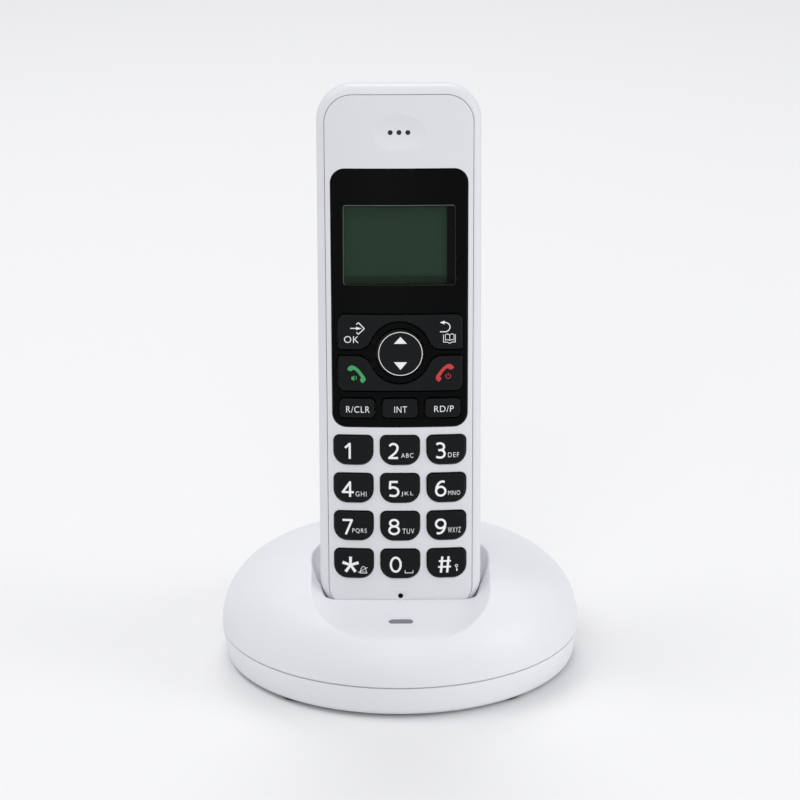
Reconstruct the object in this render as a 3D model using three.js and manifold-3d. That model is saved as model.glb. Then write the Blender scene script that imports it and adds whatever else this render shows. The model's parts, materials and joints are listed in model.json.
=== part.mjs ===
// A cordless telephone: a slim handset that stands in a round charging base.
// Millimetres, +Z up. The origin lies on the table, under the centre of the base; the keys face -Y.
import * as THREE from 'three';
import { mergeVertices } from 'three/addons/utils/BufferGeometryUtils.js';
import Module from 'manifold-3d';

const wasm = await Module();
wasm.setup();

// ---------------------------------------------------------------- driving sizes: fits
const gap = 0.3; // between pieces that rest on or run in one another
const cap_clearance = 0.3; // round a key cap in its aperture
const key_travel = 0.8;

// ---------------------------------------------------------------- driving sizes: base
const base_radius = 53;
const dome_height = 23.5; // crown of the dome above the parting line
const parting_height = 9.8; // line between the two shells above the table
const parting_gap = 0.3;
const base_wall = 2.2;
const lower_draft = 1.2; // how far the lower shell draws in towards its floor
const lower_edge_radius = 1.7;
const foot_height = 1; // feet below the lower shell
const foot_diameter = 11;
const foot_circle_radius = base_radius - 8.5;
const foot_angle = 49; // degrees from the X axis
const foot_recess = 0.8;
const scoop_half_width = 26.3;
const scoop_front = base_radius - 4.4;
const scoop_back = 14;
const scoop_corner = 20.5;
const scoop_depth = 3.9; // of its floor below the dome
const scoop_slope = 10.5; // width of the slope that leads down to the floor
const bay_half_width = 24; // recess for the sockets in the rear wall
const bay_face = base_radius - 8; // its flat wall, from the centre of the base
const bay_height = 12; // above the lower shell
const bay_ledge = 1.6; // thickness of its floor
const base_board_thickness = 1.6;
const base_board_width = 62;
const base_board_corner = 14;
const base_board_front = base_radius - 9;
const base_board_back = bay_face - 3.1;
const standoff_height = 3.4;
const base_screw_diameter = 2.8;
const base_screw_head = 5.4;
const base_screw_length = 12;
const boss_diameter = 7;
const boss_x = base_radius - 16;
const boss_y = 18;
const guide_width = 6.8; // light guide: a pill in the floor of the scoop
const guide_length = 2.1;
const guide_inset = 6.6; // behind the scoop's front edge
const guide_y = guide_inset - scoop_front;
const contact_spacing = 16;
const contact_width = 3;
const contact_thickness = 0.5;
const contact_depth = 12.5; // behind the handset's face
const socket_spacing = 28; // line socket and power socket, centre to centre
const line_socket_size = [12.8, 14, 11.2]; // width, depth, height
const line_mouth = [9.8, 11.5, 6.9];
const latch_notch = [4.6, 1.8]; // width and height of the notch for the plug's latch
const power_socket_size = [9, 12, 11];
const power_bore = 6;
const power_pin = 1.9;
const page_key_diameter = 6;
const page_key_flange = 8;
const page_key_proud = 1.6;

// ---------------------------------------------------------------- driving sizes: handset
const lean = THREE.MathUtils.degToRad(10);
const handset_foot = [0, -30.9, 23.15]; // front edge of the handset's lower end
const handset_length = 152.5;
const handset_half_width = 23.5;
const handset_taper = 0.4; // narrower by this on each side at the lower end
const handset_depth = 25;
const foot_depth = 22.8; // the lower end is thinner, so the door slides over it
const foot_length = 27;
const top_depth = 20.5;
const back_taper_start = 112; // height at which the back begins to slope towards the top
const back_taper_radius = 60;
const top_corner = 10.2;
const bottom_corner = 11;
const rim_radius = 3;
const back_radius = 7;
const crown_radius = 88; // of the front face, across its width
const housing_wall = 1.8;
const cover_inset = 2.4;
const cover_taper = 0.7;
const cover_bottom = 2.2;
const cover_top = 149.3;
const cover_top_corner = 7.8;
const cover_bottom_corner = 5.5;
const cover_wall = 1.8;
const cover_skirt = 6.2;
const skirt_wall = 1;
const pocket_clearance = 0.5;
const pocket_wall = 2;

const panel_half_width = 19.3;
const panel_bottom = 55.1;
const panel_top = 128.4;
const panel_corner = 3.8;
const panel_wall = 2.3;
const panel_tab = [12, 0.8, 1]; // width, reach behind the cover, thickness
const window_size = [32.2, 23.6];
const window_centre = 106.9;
const window_corner = 1;
const window_thickness = 1.2;
const window_ledge = 1.4;
const lcd_size = [34.4, 26.4];

const number_key_size = [10.6, 8.25];
const number_key_pitch = [13.3, 10.99];
const number_key_top_row = 48.4;
const number_key_corners = [1.4, 3.6]; // upper and lower corners
const small_key_size = [9.9, 5.5];
const small_key_pitch = 12.2;
const small_key_row = 60.4;
const small_key_corner = 1.2;
const cap_proud = 0.7;
const flange_width = 0.8;
const flange_thickness = 0.8;
const nav_centre = 76.3;
const nav_radius = 6.7;
const nav_swing = THREE.MathUtils.degToRad(2.5);
const moat_radius = 9.05;
const rocker_half_width = 17.8;
const rocker_height = 9.95; // from the line between the two rockers
const rocker_split = 1.9; // between the two rockers
const rocker_corner = 1.8;
const rocker_sweep = 4; // radius that leads each rocker's edge round the ring
const rocker_swing = THREE.MathUtils.degToRad(1.6);
const plunger_diameter = 3.6;
const rocker_plunger_reach = 12;
const nav_plunger_reach = 4.4;

const mat_front = 6.6; // depth of the mat's face behind the crown of the face
const mat_thickness = 1;
const board_thickness = 1.4;
const board_half_width = 19.4;
const board_ends = [6, 147];
const ear_centre = 138.8;
const ear_hole = 1.4;
const ear_hole_pitch = 2.5;
const earpiece_diameter = 16;
const earpiece_thickness = 4;
const mic_hole_height = 5.8;
const mic_hole = 1.5;
const mic_size = [4, 1.6]; // diameter, thickness
const mic_height = 6.5;
const loudspeaker_diameter = 20;
const loudspeaker_thickness = 4.4;
const loudspeaker_height = back_taper_start - 6;
const grille_hole = 1.4;
const grille_circle = 4.2;

const cell_diameter = 10.5;
const cell_length = 44.5;
const cell_tip = [3.8, 0.9];
const cell_spacing = 11.1;
const bay_bottom = 33.5; // battery bay
const tray_wall = 1.2;
const spring_turns = 3;
const spring_wire = 0.6;
const spring_room = 5.4; // for the spring between the bay's end and the cell
const plate_size = [9, 8, 0.5];
const door_half_width = 16;
const door_bottom = 29;
const door_top = 90;
const door_thickness = 1.8;
const door_corner = 3;
const door_slide = 9;
const door_rib = [1.2, 1.2, 20];
const pin_size = [5, 7, 0.6]; // charging contacts in the handset's lower end
const pin_spigot = 6;

// ---------------------------------------------------------------- worked out from them
const board_front = mat_front + mat_thickness + gap;
const tray_depth = board_front + board_thickness + gap;
const cell_depth = tray_depth + tray_wall + gap + cell_diameter / 2;
const plunger_tip = mat_front + 0.15;
const bay_length = cell_length + spring_room + plate_size[2] + 2 * gap;
const board_top = foot_height + base_wall + standoff_height + gap + base_board_thickness;
const crown_steps = 8;

// ---------------------------------------------------------------- materials
const finish = (color, roughness, metalness) => new THREE.MeshStandardMaterial({ color, roughness, metalness });
const plastic = (colour, roughness) => finish(colour, roughness, 0);
const metal = (colour, roughness) => finish(colour, roughness, 1);
const white_plastic = plastic(0xdfe1e6, 0.42);
const black_plastic = plastic(0x141516, 0.35);
const key_plastic = plastic(0x1f2122, 0.45);
const clear_plastic = plastic(0x2a352f, 0.08);
const lcd_glass = plastic(0x2a382e, 0.2);
const silicone = plastic(0x8c9093, 0.8);
const board_green = plastic(0x1e5a34, 0.5);
const smoke_plastic = plastic(0x8c9196, 0.3);
const black_rubber = plastic(0x1b1b1c, 0.85);
const part_black = plastic(0x222326, 0.5);
const cell_jacket = plastic(0x3f7f54, 0.4);
const steel = metal(0xb9bcc0, 0.35);
const nickel = metal(0xcfd0cc, 0.25);

// ---------------------------------------------------------------- outlines
/** Closed outline through corners [x, y, radius] listed anticlockwise; each arc has a few steps. */
function outline(corners, steps = 4) {
  const points = [];
  corners.forEach(([x, y, radius], i) => {
    const corner = new THREE.Vector2(x, y);
    const back = corners.at(i - 1);
    const ahead = corners[(i + 1) % corners.length];
    const to_back = new THREE.Vector2(back[0], back[1]).sub(corner).normalize();
    const to_ahead = new THREE.Vector2(ahead[0], ahead[1]).sub(corner).normalize();
    if (radius === 0) {
      points.push(corner);
      return;
    }
    const half = Math.acos(THREE.MathUtils.clamp(to_back.dot(to_ahead), -1, 1)) / 2;
    const middle = to_back.clone().add(to_ahead).normalize();
    const centre = corner.clone().addScaledVector(middle, radius / Math.sin(half));
    const from = corner.clone().addScaledVector(to_back, radius / Math.tan(half)).sub(centre);
    const to = corner.clone().addScaledVector(to_ahead, radius / Math.tan(half)).sub(centre);
    const turn = Math.atan2(from.cross(to), from.dot(to));
    for (let k = 0; k <= steps; k += 1) {
      points.push(from.clone().rotateAround(new THREE.Vector2(), (turn * k) / steps).add(centre));
    }
  });
  return points;
}

/** Rectangle with one corner radius, centred on x, y. */
function rounded_box(width, height, radius, x = 0, y = 0, steps = 3) {
  const [w, h] = [width / 2, height / 2];
  const corners = [[x - w, y - h], [x + w, y - h], [x + w, y + h], [x - w, y + h]];
  return outline(corners.map((corner) => [...corner, radius]), steps);
}

function circle(radius, x = 0, y = 0, steps = 16) {
  const turn = (k) => (2 * Math.PI * (k + 0.5)) / steps;
  return Array.from({ length: steps }, (_, k) => (
    new THREE.Vector2(x + radius * Math.cos(turn(k)), y + radius * Math.sin(turn(k)))));
}

// ---------------------------------------------------------------- plain solids
/** Prism over an outline in x, y, from z = low to z = high. */
function prism(points, low, high) {
  const settings = { depth: high - low, bevelEnabled: false };
  const geometry = new THREE.ExtrudeGeometry(new THREE.Shape(points), settings);
  return geometry.translate(0, 0, low);
}

/** Prism over an outline in y, z, from x = low to x = high. */
function prism_along_x(points, low, high) {
  const [x, y, z] = [new THREE.Vector3(1, 0, 0), new THREE.Vector3(0, 1, 0), new THREE.Vector3(0, 0, 1)];
  return prism(points, low, high).applyMatrix4(new THREE.Matrix4().makeBasis(y, z, x));
}

/** Prism over an outline in x, z, from y = low to y = high. */
function prism_along_y(points, low, high) {
  return prism(points, -high, -low).rotateX(Math.PI / 2);
}

function box(width, depth, height, x, y, z) {
  return new THREE.BoxGeometry(width, depth, height).translate(x, y, z);
}

/** Upright cylinder from z = low to z = high. */
function post(radius, low, high, x = 0, y = 0, steps = 16) {
  return prism(circle(radius, x, y, steps), low, high);
}

/** Turned solid about Z; the profile's points are [radius, z], from the bottom of the axis to its top. */
function turned(profile, steps) {
  const points = profile.map(([r, z]) => new THREE.Vector2(r, z));
  return new THREE.LatheGeometry(points, steps).rotateX(Math.PI / 2);
}

/** Outline of a bent strip of constant thickness along a path of [x, y] points. */
function strip(path, thickness) {
  const points = path.map(([x, y]) => new THREE.Vector2(x, y));
  const side = (offset) => points.map((point, i) => {
    const into = point.clone().sub(points[Math.max(i - 1, 0)]).normalize();
    const out = points[Math.min(i + 1, points.length - 1)].clone().sub(point).normalize();
    const along = into.clone().add(out).normalize();
    const across = new THREE.Vector2(-along.y, along.x);
    const stretch = into.lengthSq() > 0 ? along.dot(into) : 1;
    return point.clone().addScaledVector(across, offset / stretch);
  });
  return [...side(-thickness / 2), ...side(thickness / 2).reverse()];
}

// ---------------------------------------------------------------- joins and cuts
function solid(geometry) {
  const bare = geometry.clone();
  bare.deleteAttribute('normal');
  bare.deleteAttribute('uv');
  const welded = mergeVertices(bare, 1e-4);
  return new wasm.Manifold(new wasm.Mesh({
    numProp: 3,
    vertProperties: new Float32Array(welded.attributes.position.array),
    triVerts: new Uint32Array(welded.index.array),
  }));
}

function surface(manifold) {
  const mesh = manifold.getMesh();
  const geometry = new THREE.BufferGeometry();
  geometry.setAttribute('position', new THREE.BufferAttribute(mesh.vertProperties, 3));
  geometry.setIndex(new THREE.BufferAttribute(mesh.triVerts, 1));
  return geometry;
}

const as_solid = (shape) => (shape.isBufferGeometry ? solid(shape) : shape);
const join = (first, ...others) => others.reduce((sum, shape) => sum.add(as_solid(shape)), as_solid(first));
const cut = (first, ...others) => (
  others.reduce((rest, shape) => rest.subtract(as_solid(shape)), as_solid(first)));
const common = (first, ...others) => (
  others.reduce((part, shape) => part.intersect(as_solid(shape)), as_solid(first)));

// ---------------------------------------------------------------- the scene graph
const phone = new THREE.Group();
const handset = new THREE.Group();
handset.position.set(...handset_foot);
handset.rotation.x = Math.PI / 2 - lean;
handset.updateMatrix();
phone.add(handset);

function add_piece(parent, name, shape, material) {
  const geometry = shape.isBufferGeometry ? shape : surface(shape);
  geometry.computeVertexNormals();
  const mesh = new THREE.Mesh(geometry, material);
  mesh.name = name;
  parent.add(mesh);
}

/** A solid made in the handset's frame, taken to where the handset stands in the base. */
const standing = (geometry) => geometry.applyMatrix4(handset.matrix);

// ================================================================ handset
// Handset frame: x across, y up its length from the lower end, z out of the face.
const crown_z = (x, offset = 0) => Math.sqrt((crown_radius + offset) ** 2 - x * x) - crown_radius;

function crown_arc(half_width, offset) {
  return Array.from({ length: crown_steps + 1 }, (_, k) => {
    const x = half_width - (2 * half_width * k) / crown_steps;
    return new THREE.Vector2(x, crown_z(x, offset));
  });
}

/** Everything below the crowned face, or below a surface parallel to it. */
function under_crown(offset, half_width = handset_half_width) {
  const floor = [-half_width, half_width].map((x) => new THREE.Vector2(x, -handset_depth));
  return prism_along_y([...floor, ...crown_arc(half_width, offset)], -handset_length, 2 * handset_length);
}

/** Layer between two surfaces parallel to the crowned face. */
function crown_layer(top, bottom) {
  return cut(under_crown(top), under_crown(bottom));
}

/** Cross-section of the handset, grown by an offset: crowned face, soft rims, rounded back. */
function handset_section(grow) {
  const half = handset_half_width + grow;
  const flat = half - rim_radius - grow;
  const rim = rim_radius + grow;
  const rim_centre = crown_z(flat, grow) - rim;
  const back = -handset_depth - grow;
  const corner = back_radius + grow;
  const arc = (x, z, radius, from, to, steps) => Array.from({ length: steps + 1 }, (_, k) => {
    const turn = THREE.MathUtils.degToRad(from + ((to - from) * k) / steps);
    return new THREE.Vector2(x + radius * Math.cos(turn), z + radius * Math.sin(turn));
  });
  return [
    ...arc(-half + corner, back + corner, corner, 180, 270, 4),
    ...arc(half - corner, back + corner, corner, 270, 360, 4),
    ...arc(flat, rim_centre, rim, 0, 78, 4),
    ...crown_arc(flat - 1, grow),
    ...arc(-flat, rim_centre, rim, 102, 180, 4),
  ];
}

function handset_outline(grow) {
  const top = handset_half_width + grow;
  const bottom = top - handset_taper;
  const ends = [-grow, handset_length + grow];
  return outline([
    [-bottom, ends[0], bottom_corner + grow],
    [bottom, ends[0], bottom_corner + grow],
    [top, ends[1], top_corner + grow],
    [-top, ends[1], top_corner + grow],
  ], 6);
}

/** Side view of the handset: thin lower end, step, straight back, tapered top. */
function handset_profile(grow) {
  const back = -handset_depth - grow;
  return outline([
    [-grow, 1, rim_radius],
    [-grow, -foot_depth - grow, 4 + grow],
    [foot_length - 2.5, -foot_depth - grow, 2],
    [foot_length, back, 2],
    [back_taper_start, back, back_taper_radius],
    [handset_length + grow, -top_depth - grow, 7],
    [handset_length + grow, 1, rim_radius],
  ].reverse(), 5);
}

function handset_body(grow) {
  const half = handset_half_width + grow + 1;
  return common(
    prism(handset_outline(grow), -handset_depth - grow - 1, 2),
    prism_along_y(handset_section(grow), -grow - 1, handset_length + grow + 1),
    prism_along_x(handset_profile(grow), -half, half),
  );
}

function cover_outline(grow) {
  const top = handset_half_width - cover_inset + grow;
  const bottom = top - cover_taper;
  return outline([
    [-bottom, cover_bottom - grow, cover_bottom_corner + grow],
    [bottom, cover_bottom - grow, cover_bottom_corner + grow],
    [top, cover_top + grow, cover_top_corner + grow],
    [-top, cover_top + grow, cover_top_corner + grow],
  ], 5);
}

const panel_middle = (panel_bottom + panel_top) / 2;

function panel_outline(grow) {
  const size = [2 * (panel_half_width + grow), panel_top - panel_bottom + 2 * grow];
  return rounded_box(size[0], size[1], panel_corner + grow, 0, panel_middle, 4);
}

function window_outline(grow) {
  const size = window_size.map((length) => length + 2 * grow);
  return rounded_box(size[0], size[1], Math.max(window_corner + grow, 0.4), 0, window_centre, 2);
}

// ---------------------------------------------------------------- keys
const column_x = (column) => (column - 1) * number_key_pitch[0];
const row_y = (row) => number_key_top_row - row * number_key_pitch[1];

function number_key_outline(grow, x, y) {
  const [w, h] = number_key_size.map((length) => length / 2 + grow);
  const [upper, lower] = number_key_corners.map((radius) => radius + grow);
  return outline([
    [x - w, y - h, lower], [x + w, y - h, lower], [x + w, y + h, upper], [x - w, y + h, upper],
  ], 2);
}

function small_key_outline(grow, x) {
  const [w, h] = small_key_size.map((length) => length + 2 * grow);
  return rounded_box(w, h, small_key_corner + grow, x, small_key_row, 2);
}

/** Half-ring rocker: a bar over (side = 1) or under (side = -1) the round key, swept round its moat. */
function rocker_outline(grow, side) {
  const half = rocker_half_width + grow;
  const near = rocker_split / 2 - grow;
  const far = rocker_height + rocker_split / 2 + grow;
  const corner = rocker_corner + grow;
  const sweep = rocker_sweep + grow;
  const moat = moat_radius - grow;
  const sweep_y = near + sweep;
  const sweep_x = Math.sqrt((moat + sweep) ** 2 - sweep_y ** 2);
  const lift = Math.atan2(sweep_y, sweep_x);
  const right = [];
  for (let k = 0; k <= 4; k += 1) {
    const turn = Math.PI / 2 - ((Math.PI / 2 - lift) * k) / 4;
    right.push([moat * Math.cos(turn), moat * Math.sin(turn)]);
  }
  for (let k = 1; k <= 3; k += 1) {
    const turn = Math.PI + lift + ((Math.PI / 2 - lift) * k) / 3;
    right.push([sweep_x + sweep * Math.cos(turn), sweep_y + sweep * Math.sin(turn)]);
  }
  right.push([half, near]);
  for (let k = 0; k <= 3; k += 1) {
    const turn = (Math.PI / 2) * (k / 3);
    right.push([half - corner + corner * Math.cos(turn), far - corner + corner * Math.sin(turn)]);
  }
  const left = right.slice(1).reverse().map(([x, y]) => [-x, y]);
  const points = [...right, ...left].map(([x, y]) => new THREE.Vector2(x, nav_centre + side * y));
  return side > 0 ? points : points.reverse();
}

/** A key: cap through the front, retaining flange behind it, plungers that reach into the mat. */
function key_shape(shape_of, wall, drop, plungers) {
  const flange_top = -wall - gap - drop;
  const cap = common(prism(shape_of(0), flange_top - 3, 2), crown_layer(cap_proud, flange_top));
  const flange = common(
    prism(shape_of(cap_clearance + flange_width / 2), -mat_front, 2),
    prism(cover_outline(-skirt_wall - gap), -mat_front, 2),
    crown_layer(flange_top + 0.01, flange_top - flange_thickness),
  );
  const legs = plungers.map(([x, y]) => (
    post(plunger_diameter / 2, -plunger_tip, crown_z(x, flange_top), x, y, 6)));
  return join(cap, flange, ...legs);
}

const number_key_names = [
  ['key_1', 'key_2', 'key_3'],
  ['key_4', 'key_5', 'key_6'],
  ['key_7', 'key_8', 'key_9'],
  ['key_star', 'key_0', 'key_hash'],
];
const small_key_names = ['key_recall', 'key_intercom', 'key_redial'];
const rocker_names = { rocker_ok_back: 1, rocker_talk_end: -1 };

const number_keys = number_key_names.flatMap((names, row) => names.map((name, column) => ({
  name, x: column_x(column), y: row_y(row),
})));
const small_keys = small_key_names.map((name, column) => ({ name, x: (column - 1) * small_key_pitch }));
const rocker_swing_drop = rocker_half_width * Math.sin(rocker_swing);
const nav_swing_drop = (nav_radius + flange_width) * Math.sin(nav_swing);
const rocker_plunger_y = (side) => nav_centre + side * (rocker_height / 2 + rocker_split / 2);

function add_keys() {
  for (const { name, x, y } of number_keys) {
    const shape_of = (grow) => number_key_outline(grow, x, y);
    add_piece(handset, name, key_shape(shape_of, cover_wall, 0, [[x, y]]), key_plastic);
  }
  for (const { name, x } of small_keys) {
    const shape_of = (grow) => small_key_outline(grow, x);
    add_piece(handset, name, key_shape(shape_of, panel_wall, 0, [[x, small_key_row]]), key_plastic);
  }
  for (const [name, side] of Object.entries(rocker_names)) {
    const y = rocker_plunger_y(side);
    const plungers = [[-rocker_plunger_reach, y], [rocker_plunger_reach, y]];
    const shape_of = (grow) => rocker_outline(grow, side);
    add_piece(handset, name, key_shape(shape_of, panel_wall, rocker_swing_drop, plungers), key_plastic);
  }
  const plungers = [-nav_plunger_reach, 0, nav_plunger_reach].map((reach) => [0, nav_centre + reach]);
  const disc = (grow) => circle(nav_radius + grow, 0, nav_centre, 26);
  add_piece(handset, 'nav_key', key_shape(disc, panel_wall, nav_swing_drop, plungers), key_plastic);
}

// ---------------------------------------------------------------- front of the handset
function hole_through(points) {
  return prism(points, -cover_skirt, 2);
}

function front_cover() {
  const block = common(prism(cover_outline(0), -cover_skirt, 2), under_crown(0));
  const hollow = common(prism(cover_outline(-skirt_wall), -cover_skirt - 1, 2), under_crown(-cover_wall));
  const apertures = number_keys.map(({ x, y }) => hole_through(number_key_outline(cap_clearance, x, y)));
  const ear_holes = [-1, 0, 1].map((k) => (
    hole_through(circle(ear_hole / 2, k * ear_hole_pitch, ear_centre, 8))));
  const mic = hole_through(circle(mic_hole / 2, 0, mic_hole_height, 8));
  return cut(block, hollow, ...apertures, ...ear_holes, mic, hole_through(panel_outline(gap)));
}

function control_panel() {
  const plate = common(prism(panel_outline(0), -handset_depth, 2), crown_layer(0, -panel_wall));
  const [width, reach, thickness] = panel_tab;
  const tab_top = -cover_wall - gap;
  const tabs = [panel_bottom, panel_top].map((y) => box(
    width, 2 * (gap + reach), thickness, 0, y, tab_top - thickness / 2 + crown_z(width / 2)));
  const caps = [
    ...small_keys.map(({ x }) => small_key_outline(cap_clearance, x)),
    ...Object.values(rocker_names).map((side) => rocker_outline(cap_clearance, side)),
    circle(nav_radius + cap_clearance, 0, nav_centre, 26),
    window_outline(-window_ledge),
  ];
  const rebate = common(
    prism(window_outline(gap), -handset_depth, 2), crown_layer(2, -window_thickness - gap));
  return cut(join(plate, ...tabs), rebate, ...caps.map(hole_through));
}

function display_window() {
  return common(prism(window_outline(0), -handset_depth, 2), crown_layer(0, -window_thickness));
}

function lcd_module() {
  const front = -(panel_wall + 0.5) - gap + crown_z(lcd_size[0] / 2);
  return prism(rounded_box(lcd_size[0], lcd_size[1], 0.8, 0, window_centre, 1), -board_front + gap, front);
}

// ---------------------------------------------------------------- inside the handset
function keypad_mat() {
  const low = cover_bottom + skirt_wall + 4;
  const high = window_centre - lcd_size[1] / 2 - 1;
  const half = board_half_width;
  const sheet = prism(
    rounded_box(2 * half, high - low, 3, 0, (low + high) / 2, 2), -mat_front - mat_thickness, -mat_front);
  const places = [
    ...number_keys.map(({ x, y }) => [x, y]),
    ...small_keys.map(({ x }) => [x, small_key_row]),
    ...Object.values(rocker_names).flatMap((side) => (
      [-1, 1].map((way) => [way * rocker_plunger_reach, rocker_plunger_y(side)]))),
    ...[-1, 0, 1].map((way) => [0, nav_centre + way * nav_plunger_reach]),
  ];
  const well = plunger_diameter / 2 + gap;
  const wells = places.map(([x, y]) => post(well, -mat_front - mat_thickness - 1, -mat_front + 1, x, y, 6));
  return cut(sheet, ...wells);
}

function circuit_board() {
  const middle = (board_ends[0] + board_ends[1]) / 2;
  return prism(
    rounded_box(2 * board_half_width, board_ends[1] - board_ends[0], 6, 0, middle, 3),
    -board_front - board_thickness,
    -board_front,
  );
}

function earpiece() {
  const front = -cover_wall - gap;
  return join(
    post(earpiece_diameter / 2, front - earpiece_thickness, front - 0.6, 0, ear_centre, 24),
    post(earpiece_diameter / 2 - 3, front - 1, front, 0, ear_centre, 20),
  );
}

function microphone() {
  const front = -cover_wall - gap;
  return post(mic_size[0] / 2, front - mic_size[1], front, 0, mic_height, 12);
}

function loudspeaker() {
  const back = -handset_depth + housing_wall + 1.1;
  return join(
    post(loudspeaker_diameter / 2, back + 1.2, back + loudspeaker_thickness - 1.6, 0, loudspeaker_height, 20),
    post(loudspeaker_diameter / 2 - 1.5, back, back + 1.6, 0, loudspeaker_height, 20),
    post(loudspeaker_diameter / 4, back + 1, back + loudspeaker_thickness, 0, loudspeaker_height, 16),
  );
}

function battery_cell(x) {
  const radius = cell_diameter / 2;
  const body = cell_length - cell_tip[1];
  const profile = [[0, 0], [radius - 0.6, 0], [radius, 0.6], [radius, body - 0.6], [radius - 0.6, body],
    [cell_tip[0] / 2, body], [cell_tip[0] / 2, cell_length], [0, cell_length]];
  const low = bay_bottom + bay_length - plate_size[2] - 2 * gap - cell_length;
  return turned(profile, 14).rotateX(-Math.PI / 2).translate(x, low, -cell_depth);
}

/** Coiled contact under a cell: a wire wound in a cone. */
function battery_spring(x) {
  const low = bay_bottom + gap + spring_wire / 2;
  const high = bay_bottom + bay_length - plate_size[2] - 3 * gap - cell_length - spring_wire / 2;
  const steps = spring_turns * 8;
  const points = Array.from({ length: steps + 1 }, (_, k) => {
    const share = k / steps;
    const turn = 2 * Math.PI * spring_turns * share;
    const radius = 3.6 - 1.6 * share;
    const [across, deep] = [radius * Math.cos(turn), radius * Math.sin(turn)];
    return new THREE.Vector3(x + across, low + (high - low) * share, deep - cell_depth);
  });
  const path = new THREE.CatmullRomCurve3(points);
  const wire = new THREE.Shape(circle(spring_wire / 2, 0, 0, 4));
  return new THREE.ExtrudeGeometry(wire, { extrudePath: path, steps, bevelEnabled: false });
}

function battery_plate(x) {
  const y = bay_bottom + bay_length - gap - plate_size[2] / 2;
  return box(plate_size[0], plate_size[2], plate_size[1], x, y, -cell_depth);
}

function charge_pin(side) {
  const x = (side * contact_spacing) / 2;
  const plate = box(pin_size[0], pin_size[2], pin_size[1], x, pin_size[2] / 2, -contact_depth);
  const spigot = box(pin_size[0] / 2, pin_spigot, pin_size[2], x, pin_spigot / 2, -contact_depth);
  return join(plate, spigot);
}

// ---------------------------------------------------------------- back of the handset
function door_outline(grow) {
  const size = [2 * (door_half_width + grow), door_top - door_bottom + 2 * grow];
  return rounded_box(size[0], size[1], door_corner + grow, 0, (door_top + door_bottom) / 2, 4);
}

const door_rib_x = door_half_width - 2.2;
const door_rib_bottom = door_bottom + 14;

function battery_door() {
  const back = -handset_depth;
  const plate = prism(door_outline(0), back, back + door_thickness);
  const ribs = [-1, 1].map((side) => box(
    door_rib[0], door_rib[2], door_rib[1] + 0.2,
    side * door_rib_x, door_rib_bottom + door_rib[2] / 2, back + door_thickness + door_rib[1] / 2,
  ));
  return join(plate, ...ribs);
}

function rear_housing() {
  const back = -handset_depth;
  const inner_half = handset_half_width - cover_inset - 1;
  const chamber = common(
    handset_body(-housing_wall),
    box(2 * inner_half, 2 * handset_length, 60, 0, 0, 0),
  );
  const tray_low = door_bottom - 3;
  const tray_high = door_top + 3;
  const tray = box(60, tray_high - tray_low, 30, 0, (tray_low + tray_high) / 2, -tray_depth - 15);
  const hollow = cut(chamber, tray);
  const nest = prism(cover_outline(gap), -cover_skirt - gap, 3);
  const bay = box(
    2 * cell_spacing + 1.2, bay_length, 20, 0, bay_bottom + bay_length / 2, -tray_depth - tray_wall - 10);
  const door_recess = prism(door_outline(gap), back - 1, back + door_thickness + gap);
  const run_low = foot_length - 3;
  const door_run = box(2 * (door_half_width + gap), door_bottom + 6 - run_low, door_thickness + gap + 1,
    0, (door_bottom + 6 + run_low) / 2, back + (door_thickness + gap - 1) / 2);
  const rib_slots = [-1, 1].map((side) => box(
    door_rib[0] + 2 * gap, door_rib[2] + door_slide + 2 * gap, door_rib[1] + gap + 3,
    side * door_rib_x, door_rib_bottom + (door_rib[2] - door_slide) / 2, back + door_thickness + (door_rib[1] + gap) / 2,
  ));
  const pins = [-1, 1].flatMap((side) => {
    const x = (side * contact_spacing) / 2;
    return [
      box(pin_size[0] + 2 * gap, 2 * (pin_size[2] + gap), pin_size[1] + 2 * gap, x, 0, -contact_depth),
      box(pin_size[0] / 2 + 2 * gap, 8, pin_size[2] + 2 * gap, x, 1, -contact_depth),
    ];
  });
  const grille = Array.from({ length: 7 }, (_, k) => {
    const turn = (Math.PI / 3) * k;
    const reach = k === 6 ? 0 : grille_circle;
    const place = [reach * Math.cos(turn), loudspeaker_height + reach * Math.sin(turn)];
    return post(grille_hole / 2, back - 1, back + 6, place[0], place[1], 8);
  });
  return cut(handset_body(0), hollow, nest, bay, door_recess, door_run, ...rib_slots, ...pins, ...grille);
}

function add_handset() {
  add_piece(handset, 'handset_front_cover', front_cover(), white_plastic);
  add_piece(handset, 'handset_rear_housing', rear_housing(), white_plastic);
  add_piece(handset, 'control_panel', control_panel(), black_plastic);
  add_piece(handset, 'display_window', display_window(), clear_plastic);
  add_piece(handset, 'lcd_module', lcd_module(), lcd_glass);
  add_piece(handset, 'keypad_mat', keypad_mat(), silicone);
  add_piece(handset, 'handset_circuit_board', circuit_board(), board_green);
  add_piece(handset, 'earpiece_speaker', earpiece(), part_black);
  add_piece(handset, 'microphone', microphone(), steel);
  add_piece(handset, 'loudspeaker', loudspeaker(), part_black);
  add_piece(handset, 'battery_door', battery_door(), white_plastic);
  const sides = { left: -1, right: 1 };
  for (const [word, side] of Object.entries(sides)) {
    add_piece(handset, `battery_cell_${word}`, battery_cell((side * cell_spacing) / 2), cell_jacket);
    add_piece(handset, `battery_spring_${word}`, battery_spring((side * cell_spacing) / 2), nickel);
    add_piece(handset, `battery_plate_${word}`, battery_plate((side * cell_spacing) / 2), nickel);
    add_piece(handset, `charge_pin_${word}`, charge_pin(side), nickel);
  }
  add_keys();
}

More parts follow.
